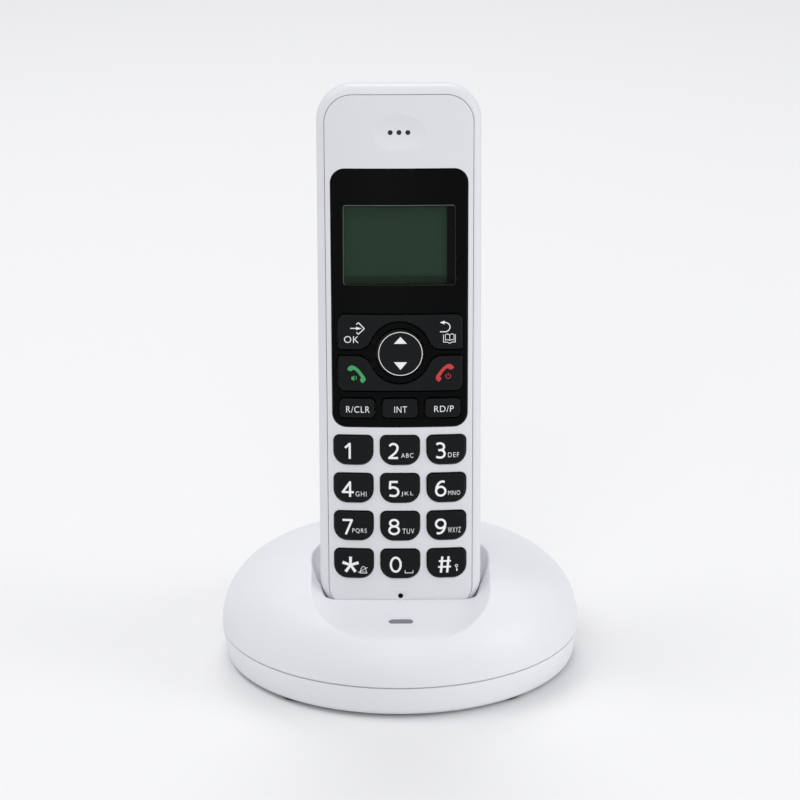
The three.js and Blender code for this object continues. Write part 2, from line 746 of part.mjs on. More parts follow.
// ================================================================ base
/** Solid dome of revolution: a flat crown that rolls over into a steep side. */
function dome(radius, height, low, steps) {
  const profile = [[0, low], [radius, low]];
  const count = 7;
  for (let k = 0; k <= count; k += 1) {
    const turn = (Math.PI / 2) * (1 - k / count);
    profile.push([radius * Math.sin(turn) ** 0.5, parting_height + height * Math.cos(turn) ** (1 / 1.1)]);
  }
  return turned(profile, steps);
}

const dome_height_at = (radius) => {
  const rise = Math.sqrt(1 - Math.min(radius / base_radius, 1) ** 4);
  return parting_height + dome_height * rise ** (1 / 1.1);
};

/** Depth of the scoop below the dome, at a distance inside its edge. */
const scoop_drop = (distance) => scoop_depth * (1 - (1 - Math.min(distance / scoop_slope, 1)) ** 2);

/** Outline of the scoop in plan; its straight sides are divided so that its floor can follow the dome. */
function scoop_outline(grow) {
  const half = scoop_half_width + grow;
  const corner = scoop_corner + grow;
  const [low, high] = [-scoop_front - grow, scoop_back + grow];
  const [arc_steps, side_steps] = [6, 3];
  const corners = [[half, high], [-half, high], [-half, low], [half, low]];
  const ring = outline(corners.map((place) => [...place, corner]), arc_steps);
  return ring.flatMap((point, i) => {
    const next = ring[(i + 1) % ring.length];
    const steps = (i + 1) % (arc_steps + 1) === 0 ? side_steps : 1;
    return Array.from({ length: steps }, (_, k) => point.clone().lerp(next, k / steps));
  });
}

/** Solid through rings of equally many points, each [points, height of a point], closed at both ends. */
function stacked(rings) {
  const count = rings[0][0].length;
  const places = rings.flatMap(([points, height_of]) => (
    points.flatMap((point) => [point.x, point.y, height_of(point)])));
  const faces = [];
  for (let ring = 0; ring < rings.length - 1; ring += 1) {
    for (let k = 0; k < count; k += 1) {
      const [a, b] = [ring * count + k, ring * count + ((k + 1) % count)];
      faces.push(a, b, b + count, a, b + count, a + count);
    }
  }
  const cap = (points) => THREE.ShapeUtils.triangulateShape(points, []);
  const last = (rings.length - 1) * count;
  cap(rings[0][0]).forEach(([a, b, c]) => faces.push(a, c, b));
  cap(rings.at(-1)[0]).forEach(([a, b, c]) => faces.push(last + a, last + b, last + c));
  const geometry = new THREE.BufferGeometry();
  geometry.setAttribute('position', new THREE.Float32BufferAttribute(places, 3));
  const unused_uv = new Array((places.length / 3) * 2).fill(0);
  geometry.setAttribute('uv', new THREE.Float32BufferAttribute(unused_uv, 2));
  geometry.setIndex(faces);
  return geometry;
}

/** All that the scoop takes away: from its bowl-shaped floor upwards. */
function scoop(grow) {
  const sky = parting_height + 2 * dome_height;
  const insets = [18, scoop_slope, 7.5, 4, 1.5, 0];
  const slope = insets.map((inset) => [
    scoop_outline(grow - inset),
    (point) => dome_height_at(point.length()) - scoop_drop(inset) - grow,
  ]);
  const edge = scoop_outline(grow);
  return stacked([...slope, [edge, () => sky]]);
}

/** The well that the handset stands in: a cup that follows its lower end, open upwards. */
function pocket(grow) {
  const side = pocket_clearance + grow;
  const half = handset_half_width - handset_taper + side;
  const low = -gap - grow;
  const corner = bottom_corner + side;
  const high = handset_length;
  const plan = outline([[-half, low, corner], [half, low, corner], [half, high, 0], [-half, high, 0]], 6);
  const depth = foot_depth + side;
  const cup = common(prism(plan, -depth, 5), prism_along_y(handset_section(side), low - 1, high));
  return cup.transform(handset.matrix.toArray());
}

const upper_low = parting_height + parting_gap / 2;
const lower_high = parting_height - parting_gap / 2;
const bay_back = bay_face - base_wall;

/** Recess for the sockets, open downwards and to the rear. */
function socket_bay(grow) {
  const [depth, height] = [2 * base_radius, 2 * (bay_height + grow)];
  return box(2 * (bay_half_width + grow), depth, height, 0, bay_back + depth / 2, lower_high);
}

const boss_places = [[-1, -1], [1, -1], [-1, 1], [1, 1]].map(([i, j]) => [i * boss_x, j * boss_y]);
const foot_places = [[-1, -1], [1, -1], [-1, 1], [1, 1]].map(([i, j]) => {
  const turn = THREE.MathUtils.degToRad(foot_angle);
  return [i * foot_circle_radius * Math.cos(turn), j * foot_circle_radius * Math.sin(turn)];
});
const place_names = ['front_left', 'front_right', 'rear_left', 'rear_right'];
const shell_floor = foot_height + base_wall;
const mouth_height = board_top + gap + 7;
const line_x = -socket_spacing / 2;
const power_x = socket_spacing / 2;
function guide_outline(grow) {
  const [w, h] = [guide_width + 2 * grow, guide_length + 2 * grow];
  return rounded_box(w, h, h / 2 - 0.01, 0, guide_y, 4);
}

function contact_slot(side) {
  const x = (side * contact_spacing) / 2;
  return solid(standing(box(contact_width + 1.4, 12, 9, x, -2, -contact_depth)));
}

function upper_shell() {
  const inner = dome(base_radius - base_wall, dome_height - base_wall, 0, 20);
  const bosses = boss_places.map(([x, y]) => (
    post(boss_diameter / 2, upper_low + gap, parting_height + dome_height, x, y, 10)));
  const hollow = cut(inner, pocket(pocket_wall), scoop(base_wall), socket_bay(base_wall), ...bosses);
  const bores = boss_places.map(([x, y]) => post(
    base_screw_diameter / 2 + gap, 0, foot_height + base_screw_length + 3, x, y, 8));
  return cut(
    dome(base_radius, dome_height, upper_low, 48),
    hollow, pocket(0), scoop(0), socket_bay(0), ...bores,
    contact_slot(-1), contact_slot(1), prism(guide_outline(gap), upper_low, parting_height + dome_height),
  );
}

/** Rear wall of the socket bay: a plate that stands on the lower shell's ledge. */
function socket_plate() {
  const [low, high] = [lower_high + gap, lower_high + bay_height - gap];
  const wall = base_wall - gap;
  const plate = box(2 * (bay_half_width - gap), wall, high - low, 0, bay_face - wall / 2, (low + high) / 2);
  const through = [bay_back - 1, bay_face + 1];
  const notch_height = mouth_height - (line_mouth[2] + latch_notch[1]) / 2;
  return cut(
    plate,
    box(line_mouth[0] + 2 * gap, 20, line_mouth[2] + 2 * gap, line_x, bay_face, mouth_height),
    box(latch_notch[0] + 2 * gap, 20, latch_notch[1] + 2 * gap, line_x, bay_face, notch_height),
    prism_along_y(circle(power_bore / 2 + gap, power_x, mouth_height, 16), ...through),
    prism_along_y(circle(page_key_diameter / 2 + gap, 0, mouth_height, 16), ...through),
  );
}

function lower_shell() {
  const low = foot_height;
  const bottom = base_radius - lower_draft;
  const bowl = turned([
    [0, low], [bottom - lower_edge_radius, low], [bottom - 0.6, low + 0.7], [bottom, low + lower_edge_radius],
    [base_radius, lower_high], [0, lower_high],
  ], 48);
  const hollow = turned([
    [0, shell_floor], [bottom - base_wall - 0.6, shell_floor], [bottom - base_wall, shell_floor + 1],
    [base_radius - base_wall, lower_high], [base_radius - base_wall, lower_high + 1], [0, lower_high + 1],
  ], 24);
  const head_room = 2.4;
  const columns = boss_places.map(([x, y]) => (
    post(base_screw_head / 2 + 1.6, low + 0.1, upper_low, x, y, 10)));
  const counterbores = boss_places.map(([x, y]) => (
    post(base_screw_head / 2 + gap, 0, low + head_room, x, y, 10)));
  const bores = boss_places.map(([x, y]) => (
    post(base_screw_diameter / 2 + gap, 0, parting_height + 2, x, y, 8)));
  const standoffs = [[-24, 30], [24, 30], [-24, -30], [24, -30]].map(([x, y]) => post(
    2.5, shell_floor - 0.1, shell_floor + standoff_height, x, y, 8));
  const foot_sockets = foot_places.map(([x, y]) => post(
    foot_diameter / 2 + gap, 0, low + foot_recess + gap, x, y, 14));
  const ledge = common(bowl, box(
    2 * base_radius, base_radius, bay_ledge, 0, bay_back + base_radius / 2, lower_high - bay_ledge / 2));
  const body = join(cut(bowl, hollow), ledge, ...columns, ...standoffs);
  return cut(body, ...counterbores, ...bores, ...foot_sockets);
}

function foot(x, y) {
  return post(foot_diameter / 2, 0, foot_height + foot_recess, x, y, 14);
}

function base_screw(x, y) {
  const seat = foot_height + 2.4 - gap;
  const radius = base_screw_diameter / 2;
  const head = base_screw_head / 2;
  const profile = [[0, seat - 1.6], [head * 0.8, seat - 1.6], [head, seat - 1], [head, seat], [radius, seat],
    [radius, seat + base_screw_length - 1.5], [0, seat + base_screw_length]];
  return turned(profile, 10).translate(x, y, 0);
}

function base_board() {
  const [low, high] = [-base_board_front, base_board_back];
  const plate = rounded_box(base_board_width, high - low, base_board_corner, 0, (high + low) / 2, 5);
  return prism(plate, board_top - base_board_thickness, board_top);
}

function line_socket() {
  const [width, depth, height] = line_socket_size;
  const front = bay_back - gap;
  const low = board_top + gap;
  const block = box(width, depth, height, line_x, front - depth / 2, low + height / 2);
  const mouth = box(line_mouth[0], 2 * line_mouth[1], line_mouth[2], line_x, front, mouth_height);
  const notch = box(
    latch_notch[0], 2 * line_mouth[1], latch_notch[1] + 0.2,
    line_x, front, mouth_height - (line_mouth[2] + latch_notch[1]) / 2);
  return cut(block, mouth, notch);
}

function power_socket() {
  const [width, depth, height] = power_socket_size;
  const front = bay_back - gap;
  const low = board_top + gap;
  const block = box(width, depth, height, power_x, front - depth / 2, low + height / 2);
  const bore = prism_along_y(circle(power_bore / 2, power_x, mouth_height, 16), front - depth + 2, front + 1);
  const pin = prism_along_y(circle(power_pin / 2, power_x, mouth_height, 8), front - depth + 1, front - 0.8);
  return join(cut(block, bore), pin);
}

function page_key() {
  const inner = bay_back - gap - 1;
  const cap = prism_along_y(
    circle(page_key_diameter / 2, 0, mouth_height, 20), inner, bay_face + page_key_proud);
  const flange = prism_along_y(circle(page_key_flange / 2, 0, mouth_height, 20), inner, bay_back - gap);
  return join(cap, flange);
}

function page_switch() {
  const front = bay_back - gap - 1 - key_travel - 2 * gap;
  const low = board_top + gap;
  const body = box(6, 5, mouth_height + 3 - low, 0, front - 1 - 2.5, (low + mouth_height + 3) / 2);
  const button = prism_along_y(circle(1.7, 0, mouth_height, 12), front - 1.5, front);
  return join(body, button);
}

/** Charging spring: a foot on the board, a leg, and a rounded nose that comes up through the well's floor. */
function charge_contact(side) {
  const nose = new THREE.Vector3(0, -gap - contact_thickness / 2, -contact_depth);
  nose.applyMatrix4(handset.matrix);
  const foot_z = board_top + gap + contact_thickness / 2;
  const [y, top] = [nose.y, nose.z];
  const path = [
    [y + 7, foot_z], [y + 2.6, foot_z], [y + 2.6, top - 3.4], [y + 2, top - 1.2],
    [y + 0.9, top - 0.15], [y - 0.9, top - 0.15], [y - 2.2, top - 1.4], [y - 2.6, top - 5],
  ];
  const x = (side * contact_spacing) / 2;
  return prism_along_x(strip(path, contact_thickness), x - contact_width / 2, x + contact_width / 2);
}

function light_guide() {
  const floor_height = (y) => dome_height_at(-y) - scoop_drop(scoop_front + y);
  const stem = prism(guide_outline(0), board_top + 1.4, parting_height + dome_height);
  const floor = [-3, -1, 1, 3].map((step) => new THREE.Vector2(guide_y + step, floor_height(guide_y + step)));
  const below = [new THREE.Vector2(guide_y - 3, 0), new THREE.Vector2(guide_y + 3, 0), ...floor.reverse()];
  return common(stem, prism_along_x(below, -guide_width, guide_width));
}

function add_base() {
  add_piece(phone, 'base_upper_shell', upper_shell(), white_plastic);
  add_piece(phone, 'base_lower_shell', lower_shell(), white_plastic);
  add_piece(phone, 'socket_plate', socket_plate(), white_plastic);
  place_names.forEach((name, k) => {
    add_piece(phone, `foot_${name}`, foot(...foot_places[k]), black_rubber);
    add_piece(phone, `base_screw_${name}`, base_screw(...boss_places[k]), steel);
  });
  add_piece(phone, 'base_circuit_board', base_board(), board_green);
  add_piece(phone, 'charge_contact_left', charge_contact(-1), nickel);
  add_piece(phone, 'charge_contact_right', charge_contact(1), nickel);
  add_piece(phone, 'line_socket', line_socket(), part_black);
  add_piece(phone, 'power_socket', power_socket(), part_black);
  add_piece(phone, 'page_key', page_key(), smoke_plastic);
  add_piece(phone, 'page_switch', page_switch(), part_black);
  add_piece(phone, 'charge_light_guide', light_guide(), smoke_plastic);
}

add_base();
add_handset();

export default phone;
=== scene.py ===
"""Looks of a cordless telephone that stands in its round charging base.

Millimetres are used inside the shapes; PLACE matrices take them to the frame's metres.
"""
import json
from math import acos, atan2, ceil, cos, hypot, pi, radians, sin, sqrt

import bpy
from mathutils import Matrix, Vector
from mathutils.geometry import delaunay_2d_cdt


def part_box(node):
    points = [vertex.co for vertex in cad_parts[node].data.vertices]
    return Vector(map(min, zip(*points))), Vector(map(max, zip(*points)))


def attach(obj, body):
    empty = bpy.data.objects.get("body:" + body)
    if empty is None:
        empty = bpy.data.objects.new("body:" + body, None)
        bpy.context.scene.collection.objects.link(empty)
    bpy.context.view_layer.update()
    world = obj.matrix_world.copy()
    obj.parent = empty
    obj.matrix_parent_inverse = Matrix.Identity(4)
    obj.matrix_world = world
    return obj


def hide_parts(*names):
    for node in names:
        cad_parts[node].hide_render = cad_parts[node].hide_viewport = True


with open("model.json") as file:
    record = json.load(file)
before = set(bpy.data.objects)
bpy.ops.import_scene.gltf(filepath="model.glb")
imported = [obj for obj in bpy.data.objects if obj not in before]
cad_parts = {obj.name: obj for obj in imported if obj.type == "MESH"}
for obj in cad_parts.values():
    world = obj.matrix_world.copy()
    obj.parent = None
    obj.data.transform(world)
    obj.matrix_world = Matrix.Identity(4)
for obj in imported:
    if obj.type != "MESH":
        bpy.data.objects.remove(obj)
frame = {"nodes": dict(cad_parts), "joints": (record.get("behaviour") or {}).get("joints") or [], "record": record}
scene = bpy.context.scene
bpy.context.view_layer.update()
joints = {joint["name"]: joint for joint in frame["joints"]}

# ---------- places
BASE = Matrix.Scale(0.001, 4)
NAV = 76.3  # round key, above the handset's lower end
up = Vector(joints["handset_lift"]["axis"]).normalized()
out = Vector((1, 0, 0)).cross(up)
foot = Vector(joints["nav_key_rock"]["pos_m"]) - up * NAV / 1000 + out * 2 / 1000
HANDSET = Matrix.Translation(foot) @ Matrix((
    (1, up.x, out.x, 0), (0, up.y, out.y, 0), (0, up.z, out.z, 0), (0, 0, 0, 1))) @ Matrix.Scale(0.001, 4)

# ---------- sizes
GAP = 0.3  # round every key, and under the handset
RADIUS = 53
PARTING = 9.8  # height of the seam between the base's shells
DOME = 23.5
DOME_POWER = 1.1
CROWN = 88  # radius of the handset's front, across
HALF, LENGTH = 23.5, 152.5
DEPTH, FOOT_DEPTH, TOP_DEPTH = 25, 22.8, 20.5
FOOT_LENGTH, STEP = 27, 2.5  # the thin foot, and the length over which it thickens
TAPER_START = 106  # height from which the back slopes forward
RIM = 3
EAR_Y, MICROPHONE_Y, WINDOW_Y, SMALL_KEY_Y = 138.8, 5.8, 106.9, 60.4  # heights on the handset
KEY_PITCH, KEY_RISE, TOP_ROW = 13.3, 10.99, 48.4
CAP_PROUD = 0.7
WALL = 2.3  # of the control panel
CAP_DEPTH = 3
INK = 0.03  # height of the legends over what they are printed on
PAD_X, PAD_Y = 8, -12.5  # charging pads under the handset


# ---------- outlines
class Outline:
    """A closed outline of arcs and straight runs, anticlockwise; grow moves it outward."""

    def __init__(self, arcs, steps=8, spacing=1.5):
        self.arcs, self.steps = arcs, steps
        ends = [self.arc(arc, 0) for arc in arcs]
        self.runs = []
        for i, points in enumerate(ends):
            ahead = ends[(i + 1) % len(ends)][0]
            reach = hypot(ahead[0] - points[-1][0], ahead[1] - points[-1][1])
            self.runs.append(max(1, ceil(reach / spacing)))

    def arc(self, arc, grow):
        x, y, radius, start, stop = arc
        bent = radius + grow if stop > start else radius - grow
        turns = [start + (stop - start) * k / self.steps for k in range(self.steps + 1)]
        return [(x + bent * cos(turn), y + bent * sin(turn)) for turn in turns]

    def __call__(self, grow=0.0):
        arcs = [self.arc(arc, grow) for arc in self.arcs]
        points = []
        for i, arc in enumerate(arcs):
            points += arc
            (x, y), (u, v) = arc[-1], arcs[(i + 1) % len(arcs)][0]
            run = self.runs[i]
            points += [(x + (u - x) * k / run, y + (v - y) * k / run) for k in range(1, run)]
        return points


def rounded(corners, steps=8, spacing=1.5):
    """Outline through corners (x, y, radius), anticlockwise."""
    arcs = []
    for i, (x, y, radius) in enumerate(corners):
        back = Vector(corners[i - 1][:2]) - Vector((x, y))
        ahead = Vector(corners[(i + 1) % len(corners)][:2]) - Vector((x, y))
        back.normalize()
        ahead.normalize()
        half = acos(max(-1, min(1, back.dot(ahead)))) / 2
        centre = Vector((x, y)) + (back + ahead).normalized() * radius / sin(half)
        foot_back = Vector((x, y)) + back * radius * cos(half) / sin(half) - centre
        foot_ahead = Vector((x, y)) + ahead * radius * cos(half) / sin(half) - centre
        start = atan2(foot_back.y, foot_back.x)
        stop = atan2(foot_ahead.y, foot_ahead.x)
        while stop < start:
            stop += 2 * pi
        arcs.append((centre.x, centre.y, radius, start, stop))
    return Outline(arcs, steps, spacing)


def rectangle(width, height, radius, x=0.0, y=0.0, steps=8, lower=None):
    w, h = width / 2, height / 2
    low = radius if lower is None else lower
    return rounded([(x - w, y - h, low), (x + w, y - h, low), (x + w, y + h, radius), (x - w, y + h, radius)],
                   steps)


def circle(radius, x=0.0, y=0.0, steps=48):
    return lambda grow=0.0: [
        (x + (radius + grow) * cos(2 * pi * k / steps), y + (radius + grow) * sin(2 * pi * k / steps))
        for k in range(steps)]


def grown(outline, by):
    """The outline, moved outward all round."""
    return lambda grow=0.0: outline(grow + by)


def outward(loop):
    """Unit normals of an anticlockwise loop, pointing out of it."""
    normals = []
    for i, _ in enumerate(loop):
        (x, y), (u, v) = loop[i - 1], loop[(i + 1) % len(loop)]
        reach = hypot(u - x, v - y) or 1
        normals.append(((v - y) / reach, (x - u) / reach))
    return normals


def distance(loop, x, y):
    """Distance from a point to a closed loop."""
    best = 1e9
    for i, (u, v) in enumerate(loop):
        a, b = u - loop[i - 1][0], v - loop[i - 1][1]
        share = ((x - u) * a + (y - v) * b) / (a * a + b * b + 1e-12)
        share = max(-1.0, min(0.0, share))
        best = min(best, hypot(x - u - a * share, y - v - b * share))
    return best


def extent(points):
    """Low and high corner of flat points."""
    return [[pick(point[axis] for point in points) for axis in (0, 1)] for pick in (min, max)]


def slope(height, x, y):
    """Unit normal of a height field."""
    d = 0.05
    return Vector((height(x - d, y) - height(x + d, y), height(x, y - d) - height(x, y + d), 2 * d)).normalized()


# ---------- meshes
def placed(name, data):
    """New object, linked into the scene."""
    thing = bpy.data.objects.new(name, data)
    scene.collection.objects.link(thing)
    return thing


class Piece:
    """Points, normals and faces in millimetres, gathered into one object."""

    def __init__(self):
        self.points, self.normals, self.faces, self.slots = [], [], [], []

    def ring(self, points, normals=None):
        start = len(self.points)
        self.points += [tuple(point) for point in points]
        self.normals += [tuple(normal) for normal in normals] if normals else [(0, 0, 0)] * len(points)
        return list(range(start, len(self.points)))

    def face(self, corners):
        self.faces.append(tuple(corners))
        self.slots.append(0)

    def band(self, a, b, flip=False):
        for i in range(len(a)):
            j = (i + 1) % len(a)
            self.face((a[i], b[i], b[j], a[j]) if flip else (a[i], a[j], b[j], b[i]))

    def edge(self, outline, height, radius, depth, hole=False):
        """Rounded edge and the wall below it; gives back the ring at the top and the one at the foot."""
        side, steps = -1 if hole else 1, 4
        rings = []
        for k in range(steps + 2):
            turn = min(k / steps, 1) * pi / 2
            loop = outline(-side * radius * (1 - sin(turn)))
            drop = radius * (1 - cos(turn)) if k <= steps else depth
            points, normals = [], []
            for (x, y), (u, v) in zip(loop, outward(loop)):
                points.append((x, y, height(x, y) - drop))
                normals.append((Vector((u, v, 0)) * side * sin(turn) + slope(height, x, y) * cos(turn)).normalized())
            rings.append(self.ring(points, normals))
        for a, b in zip(rings, rings[1:]):
            self.band(a, b, flip=not hole)
        return rings[0], rings[-1]

    def fill(self, loops, height, spacing, flip=False):
        """Covers what lies inside the first loop and outside the others."""
        known = [i for loop in loops for i in loop]
        flat = [Vector(self.points[i][:2]) for i in known]
        faces, start = [], 0
        for loop in loops:
            faces.append(list(range(start, start + len(loop))))
            start += len(loop)
        low, high = extent([self.points[i] for i in loops[0]])
        counts = [max(1, round((high[axis] - low[axis]) / spacing[axis])) for axis in (0, 1)]
        for i in range(1, counts[0]):
            for j in range(1, counts[1]):
                flat.append(Vector((low[0] + (high[0] - low[0]) * (i + 0.013) / counts[0],
                                    low[1] + (high[1] - low[1]) * (j + 0.017) / counts[1])))
        points, _, triangles, origin, _, inside = delaunay_2d_cdt(flat, [], faces, 0, 1e-5, True)
        names = {}

        def index(i):
            if i not in names:
                old = [k for k in origin[i] if k < len(known)]
                if old:
                    names[i] = known[old[0]]
                else:
                    x, y = points[i]
                    normal = slope(height, x, y) * (-1 if flip else 1)
                    names[i] = self.ring([(x, y, height(x, y))], [normal])[0]
            return names[i]

        for triangle, owners in zip(triangles, inside):
            if 0 in owners and len(owners) == 1:
                corners = [index(i) for i in triangle]
                self.face(corners[::-1] if flip else corners)

    def build(self, name, body, materials, place, stands_for=(), sharp=None):
        mesh = bpy.data.meshes.new(name)
        mesh.from_pydata([place @ Vector(point) for point in self.points], [], self.faces)
        for material in materials:
            mesh.materials.append(material)
        mesh.polygons.foreach_set("material_index", self.slots)
        mesh.polygons.foreach_set("use_smooth", [True] * len(self.faces))
        if any(self.normals[0]):
            turn = place.to_3x3().normalized()
            mesh.normals_split_custom_set_from_vertices([turn @ Vector(normal) for normal in self.normals])
        if sharp:
            mesh.set_sharp_from_angle(angle=radians(sharp))
        mesh.update()
        piece = placed(name, mesh)
        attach(piece, body)
        if stands_for:
            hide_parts(*stands_for)
        return piece


SLOTS = {entry["node"]: entry["material_slot"] for entry in frame["record"]["subparts"]}


def plate(outline, height, holes=(), edge=0.3, depth=2.0, spacing=(1.5, 3), under=False):
    """A crowned plate with a rounded rim; each hole is (outline, edge radius, depth)."""
    piece = Piece()
    top, bottom = piece.edge(outline, height, edge, depth)
    rims = [piece.edge(hole, height, radius, reach, hole=True)[0] for hole, radius, reach in holes]
    piece.fill([top, *rims], height, spacing)
    if under:
        lower = piece.ring([piece.points[i] for i in bottom], [(0, 0, -1)] * len(bottom))
        piece.fill([lower], lambda x, y: height(x, y) - depth, spacing, flip=True)
    return piece


def lathe(profile, steps=96):
    """Turned piece about Z from a profile of (radius, z), from the axis round to the axis."""
    piece = Piece()
    rings = []
    for r, z in profile:
        count = steps if r > 1e-6 else 1
        turns = [2 * pi * k / steps for k in range(count)]
        rings.append(piece.ring([(r * cos(turn), r * sin(turn), z) for turn in turns]))
    for a, b in zip(rings, rings[1:]):
        if len(a) == 1:
            for i in range(steps):
                piece.face((a[0], b[(i + 1) % steps], b[i]))
        elif len(b) == 1:
            for i in range(steps):
                piece.face((a[i], a[(i + 1) % steps], b[0]))
        else:
            piece.band(a, b)
    return piece


def carve(piece, cutters, sharp=35):
    """Cuts closed solids out of a closed piece."""
    for cutter in cutters:
        cut = piece.modifiers.new("cut", "BOOLEAN")
        cut.operation, cut.solver, cut.object = "DIFFERENCE", "EXACT", cutter
    bpy.context.view_layer.update()
    mesh = bpy.data.meshes.new_from_object(piece.evaluated_get(bpy.context.evaluated_depsgraph_get()))
    piece.modifiers.clear()
    old, piece.data = piece.data, mesh
    bpy.data.meshes.remove(old)
    for cutter in cutters:
        bpy.data.objects.remove(cutter)
    mesh.polygons.foreach_set("use_smooth", [True] * len(mesh.polygons))
    mesh.set_sharp_from_angle(angle=radians(sharp))


def block(outline, low, high, place):
    """Closed prism, as a cutter."""
    piece = Piece()
    loop = outline(0)
    bottom = piece.ring([(x, y, low) for x, y in loop])
    top = piece.ring([(x, y, high) for x, y in loop])
    piece.band(bottom, top)
    piece.face(top)
    piece.face(bottom[::-1])
    mesh = bpy.data.meshes.new("cutter")
    mesh.from_pydata([place @ Vector(point) for point in piece.points], [], piece.faces)
    return placed("cutter", mesh)


# ---------- materials
def moulded(name, rgb, rough=0.4, grain=5000, depth=0.000008, mottle=0.03, spread=0.04, metal=0.0, clear=0.0,
            ior=1.5, shine=0.5):
    """Moulded surface: fine grain as bump, slow mottling of colour and gloss."""
    shares = [v / 255 for v in rgb]
    colour = [v / 12.92 if v <= 0.04045 else ((v + 0.055) / 1.055) ** 2.4 for v in shares]  # linear
    material = bpy.data.materials.new(name)
    material.use_nodes = True
    nodes, links = material.node_tree.nodes, material.node_tree.links
    shader = nodes["Principled BSDF"]
    place = nodes.new("ShaderNodeTexCoord")
    cloud, pores = nodes.new("ShaderNodeTexNoise"), nodes.new("ShaderNodeTexNoise")
    tones, gloss, bump = nodes.new("ShaderNodeMix"), nodes.new("ShaderNodeMapRange"), nodes.new("ShaderNodeBump")
    tones.data_type = "RGBA"
    for node, key, value in (
            (shader, "Metallic", metal), (shader, "Transmission Weight", clear), (shader, "IOR", ior),
            (shader, "Specular IOR Level", shine), (cloud, "Scale", 60), (cloud, "Detail", 4),
            (tones, "A", [v * (1 - mottle) for v in colour] + [1]),
            (tones, "B", [min(1, v * (1 + mottle)) for v in colour] + [1]),
            (gloss, "To Min", max(0.0, rough - spread)), (gloss, "To Max", rough + spread),
            (pores, "Scale", grain), (pores, "Detail", 3), (bump, "Strength", 0.5), (bump, "Distance", depth)):
        node.inputs[key].default_value = value
    for source, result, target, key in (
            (place, "Object", cloud, "Vector"), (cloud, "Fac", tones, "Factor"),
            (tones, "Result", shader, "Base Color"), (cloud, "Fac", gloss, "Value"),
            (gloss, "Result", shader, "Roughness"), (place, "Object", pores, "Vector"),
            (pores, "Fac", bump, "Height"), (bump, "Normal", shader, "Normal")):
        links.new(source.outputs[result], target.inputs[key])
    return material


white = moulded("white_shell", (220, 221, 225), 0.42, mottle=0.008, shine=0.4)
cover_white = moulded("cover_white", (213, 214, 218), 0.42, mottle=0.008, shine=0.4)
black = moulded("panel_black", (8, 8, 8), 0.34, mottle=0.06, shine=0.04)
key_black = moulded("key_black", (15, 17, 18), 0.5, depth=0.000012, mottle=0.06, shine=0.11)
ink = moulded("ink_white", (229, 232, 234), 0.5, mottle=0.01)
ink_green = moulded("ink_green", (46, 152, 86), 0.5)
ink_red = moulded("ink_red", (188, 38, 43), 0.5)
glass = moulded("window_glass", (214, 224, 220), 0.04, grain=800, depth=0.000001, clear=1.0, mottle=0.02,
                spread=0.01, ior=1.15)
# Black sheet: under the window round the screen, and behind the microphone hole as painted shade
sheet_black = moulded("black_sheet", (8, 8, 8), 0.4, mottle=0.05, shine=0.05)
lcd = moulded("lcd_glass", (58, 79, 65), 0.35, shine=0.1)
lcd_lower_band = moulded("lcd_lower_band", (47, 58, 46), 0.4, shine=0.1)
# Two copies for the window's rim: the lighter one is a painted highlight on its top and left, the darker one painted
# shade on its right and lower sides
rim_painted_highlight = moulded("window_rim_painted_highlight", (84, 89, 86), 0.3)
rim_painted_shade = moulded("window_rim_painted_shade", (30, 33, 31), 0.3, shine=0.2)
smoke = moulded("smoke_grey", (140, 145, 151), 0.3, clear=0.25, mottle=0.02)
rubber = moulded("foot_rubber", (24, 24, 25), 0.85, depth=0.00002, mottle=0.08)
silicone = moulded("silicone", (140, 144, 147), 0.75)
board = moulded("board_green", (30, 90, 52), 0.45, mottle=0.08)
dark = moulded("part_black", (30, 31, 33), 0.5, mottle=0.06)
jacket = moulded("cell_jacket", (62, 128, 84), 0.35, mottle=0.05)
steel = moulded("screw_steel", (186, 188, 192), 0.3, metal=1.0, mottle=0.04)
nickel = moulded("contact_nickel", (208, 206, 200), 0.22, metal=1.0, mottle=0.04)
gold = moulded("contact_gold", (222, 180, 96), 0.25, metal=1.0, mottle=0.04)

by_slot = {
    "white_shell": white, "panel_black": black, "key_black": key_black, "window_clear": glass, "lcd_glass": lcd,
    "silicone": silicone, "board_green": board, "foot_rubber": rubber, "screw_steel": steel, "part_black": dark,
    "smoke_grey": smoke, "cell_jacket": jacket, "contact_nickel": nickel,
}
for name, node in frame["nodes"].items():
    node.data.materials.clear()
    node.data.materials.append(by_slot[SLOTS[name]])


# ---------- handset: surfaces
def crown(x, _=0.0):
    """Height of the handset's front; 0 on its middle line."""
    return sqrt(CROWN * CROWN - x * x) - CROWN


DISHES = [(0, EAR_Y, 7.7, 5.3, 0.55), (0, MICROPHONE_Y, 3.0, 1.25, 0.22)]  # x, y, half width, half height, depth


def face(x, y):
    """Front with the dishes of the earpiece and the microphone."""
    z = crown(x)
    for u, v, a, b, depth in DISHES:
        reach = ((x - u) / a) ** 2 + ((y - v) / b) ** 2
        if reach < 1:
            z -= depth * (1 - reach) ** 1.15
    return z


def cap(x, _=0.0):
    """Top of the key caps."""
    return crown(x) + CAP_PROUD


def tapered(half, taper, low, high, low_corner, high_corner):
    return rounded([(-half + taper, low, low_corner), (half - taper, low, low_corner), (half, high, high_corner),
                    (-half, high, high_corner)], 24, 2.5)


body_outline = tapered(HALF, 0.4, 0, LENGTH, 10.8, 10.2)
cover_outline = tapered(HALF - 2.4, 0.7, 2.2, 149.3, 6.2, 7.8)
cover_outline.runs = body_outline.runs  # point for point beside the housing's outline
panel_outline = rounded([(-19.08, 55.1, 3.8), (19.08, 55.1, 3.8), (19.36, 128.4, 3.8), (-19.36, 128.4, 3.8)], 12)
window_outline = rectangle(32.2, 23.05, 1, 0, WINDOW_Y)
nav_outline = circle(6.7, 0, NAV, 96)


def number_key(x, y):
    return rectangle(10.85, 8.09, 1.4, x - 0.07, y - 0.09, lower=3.6)


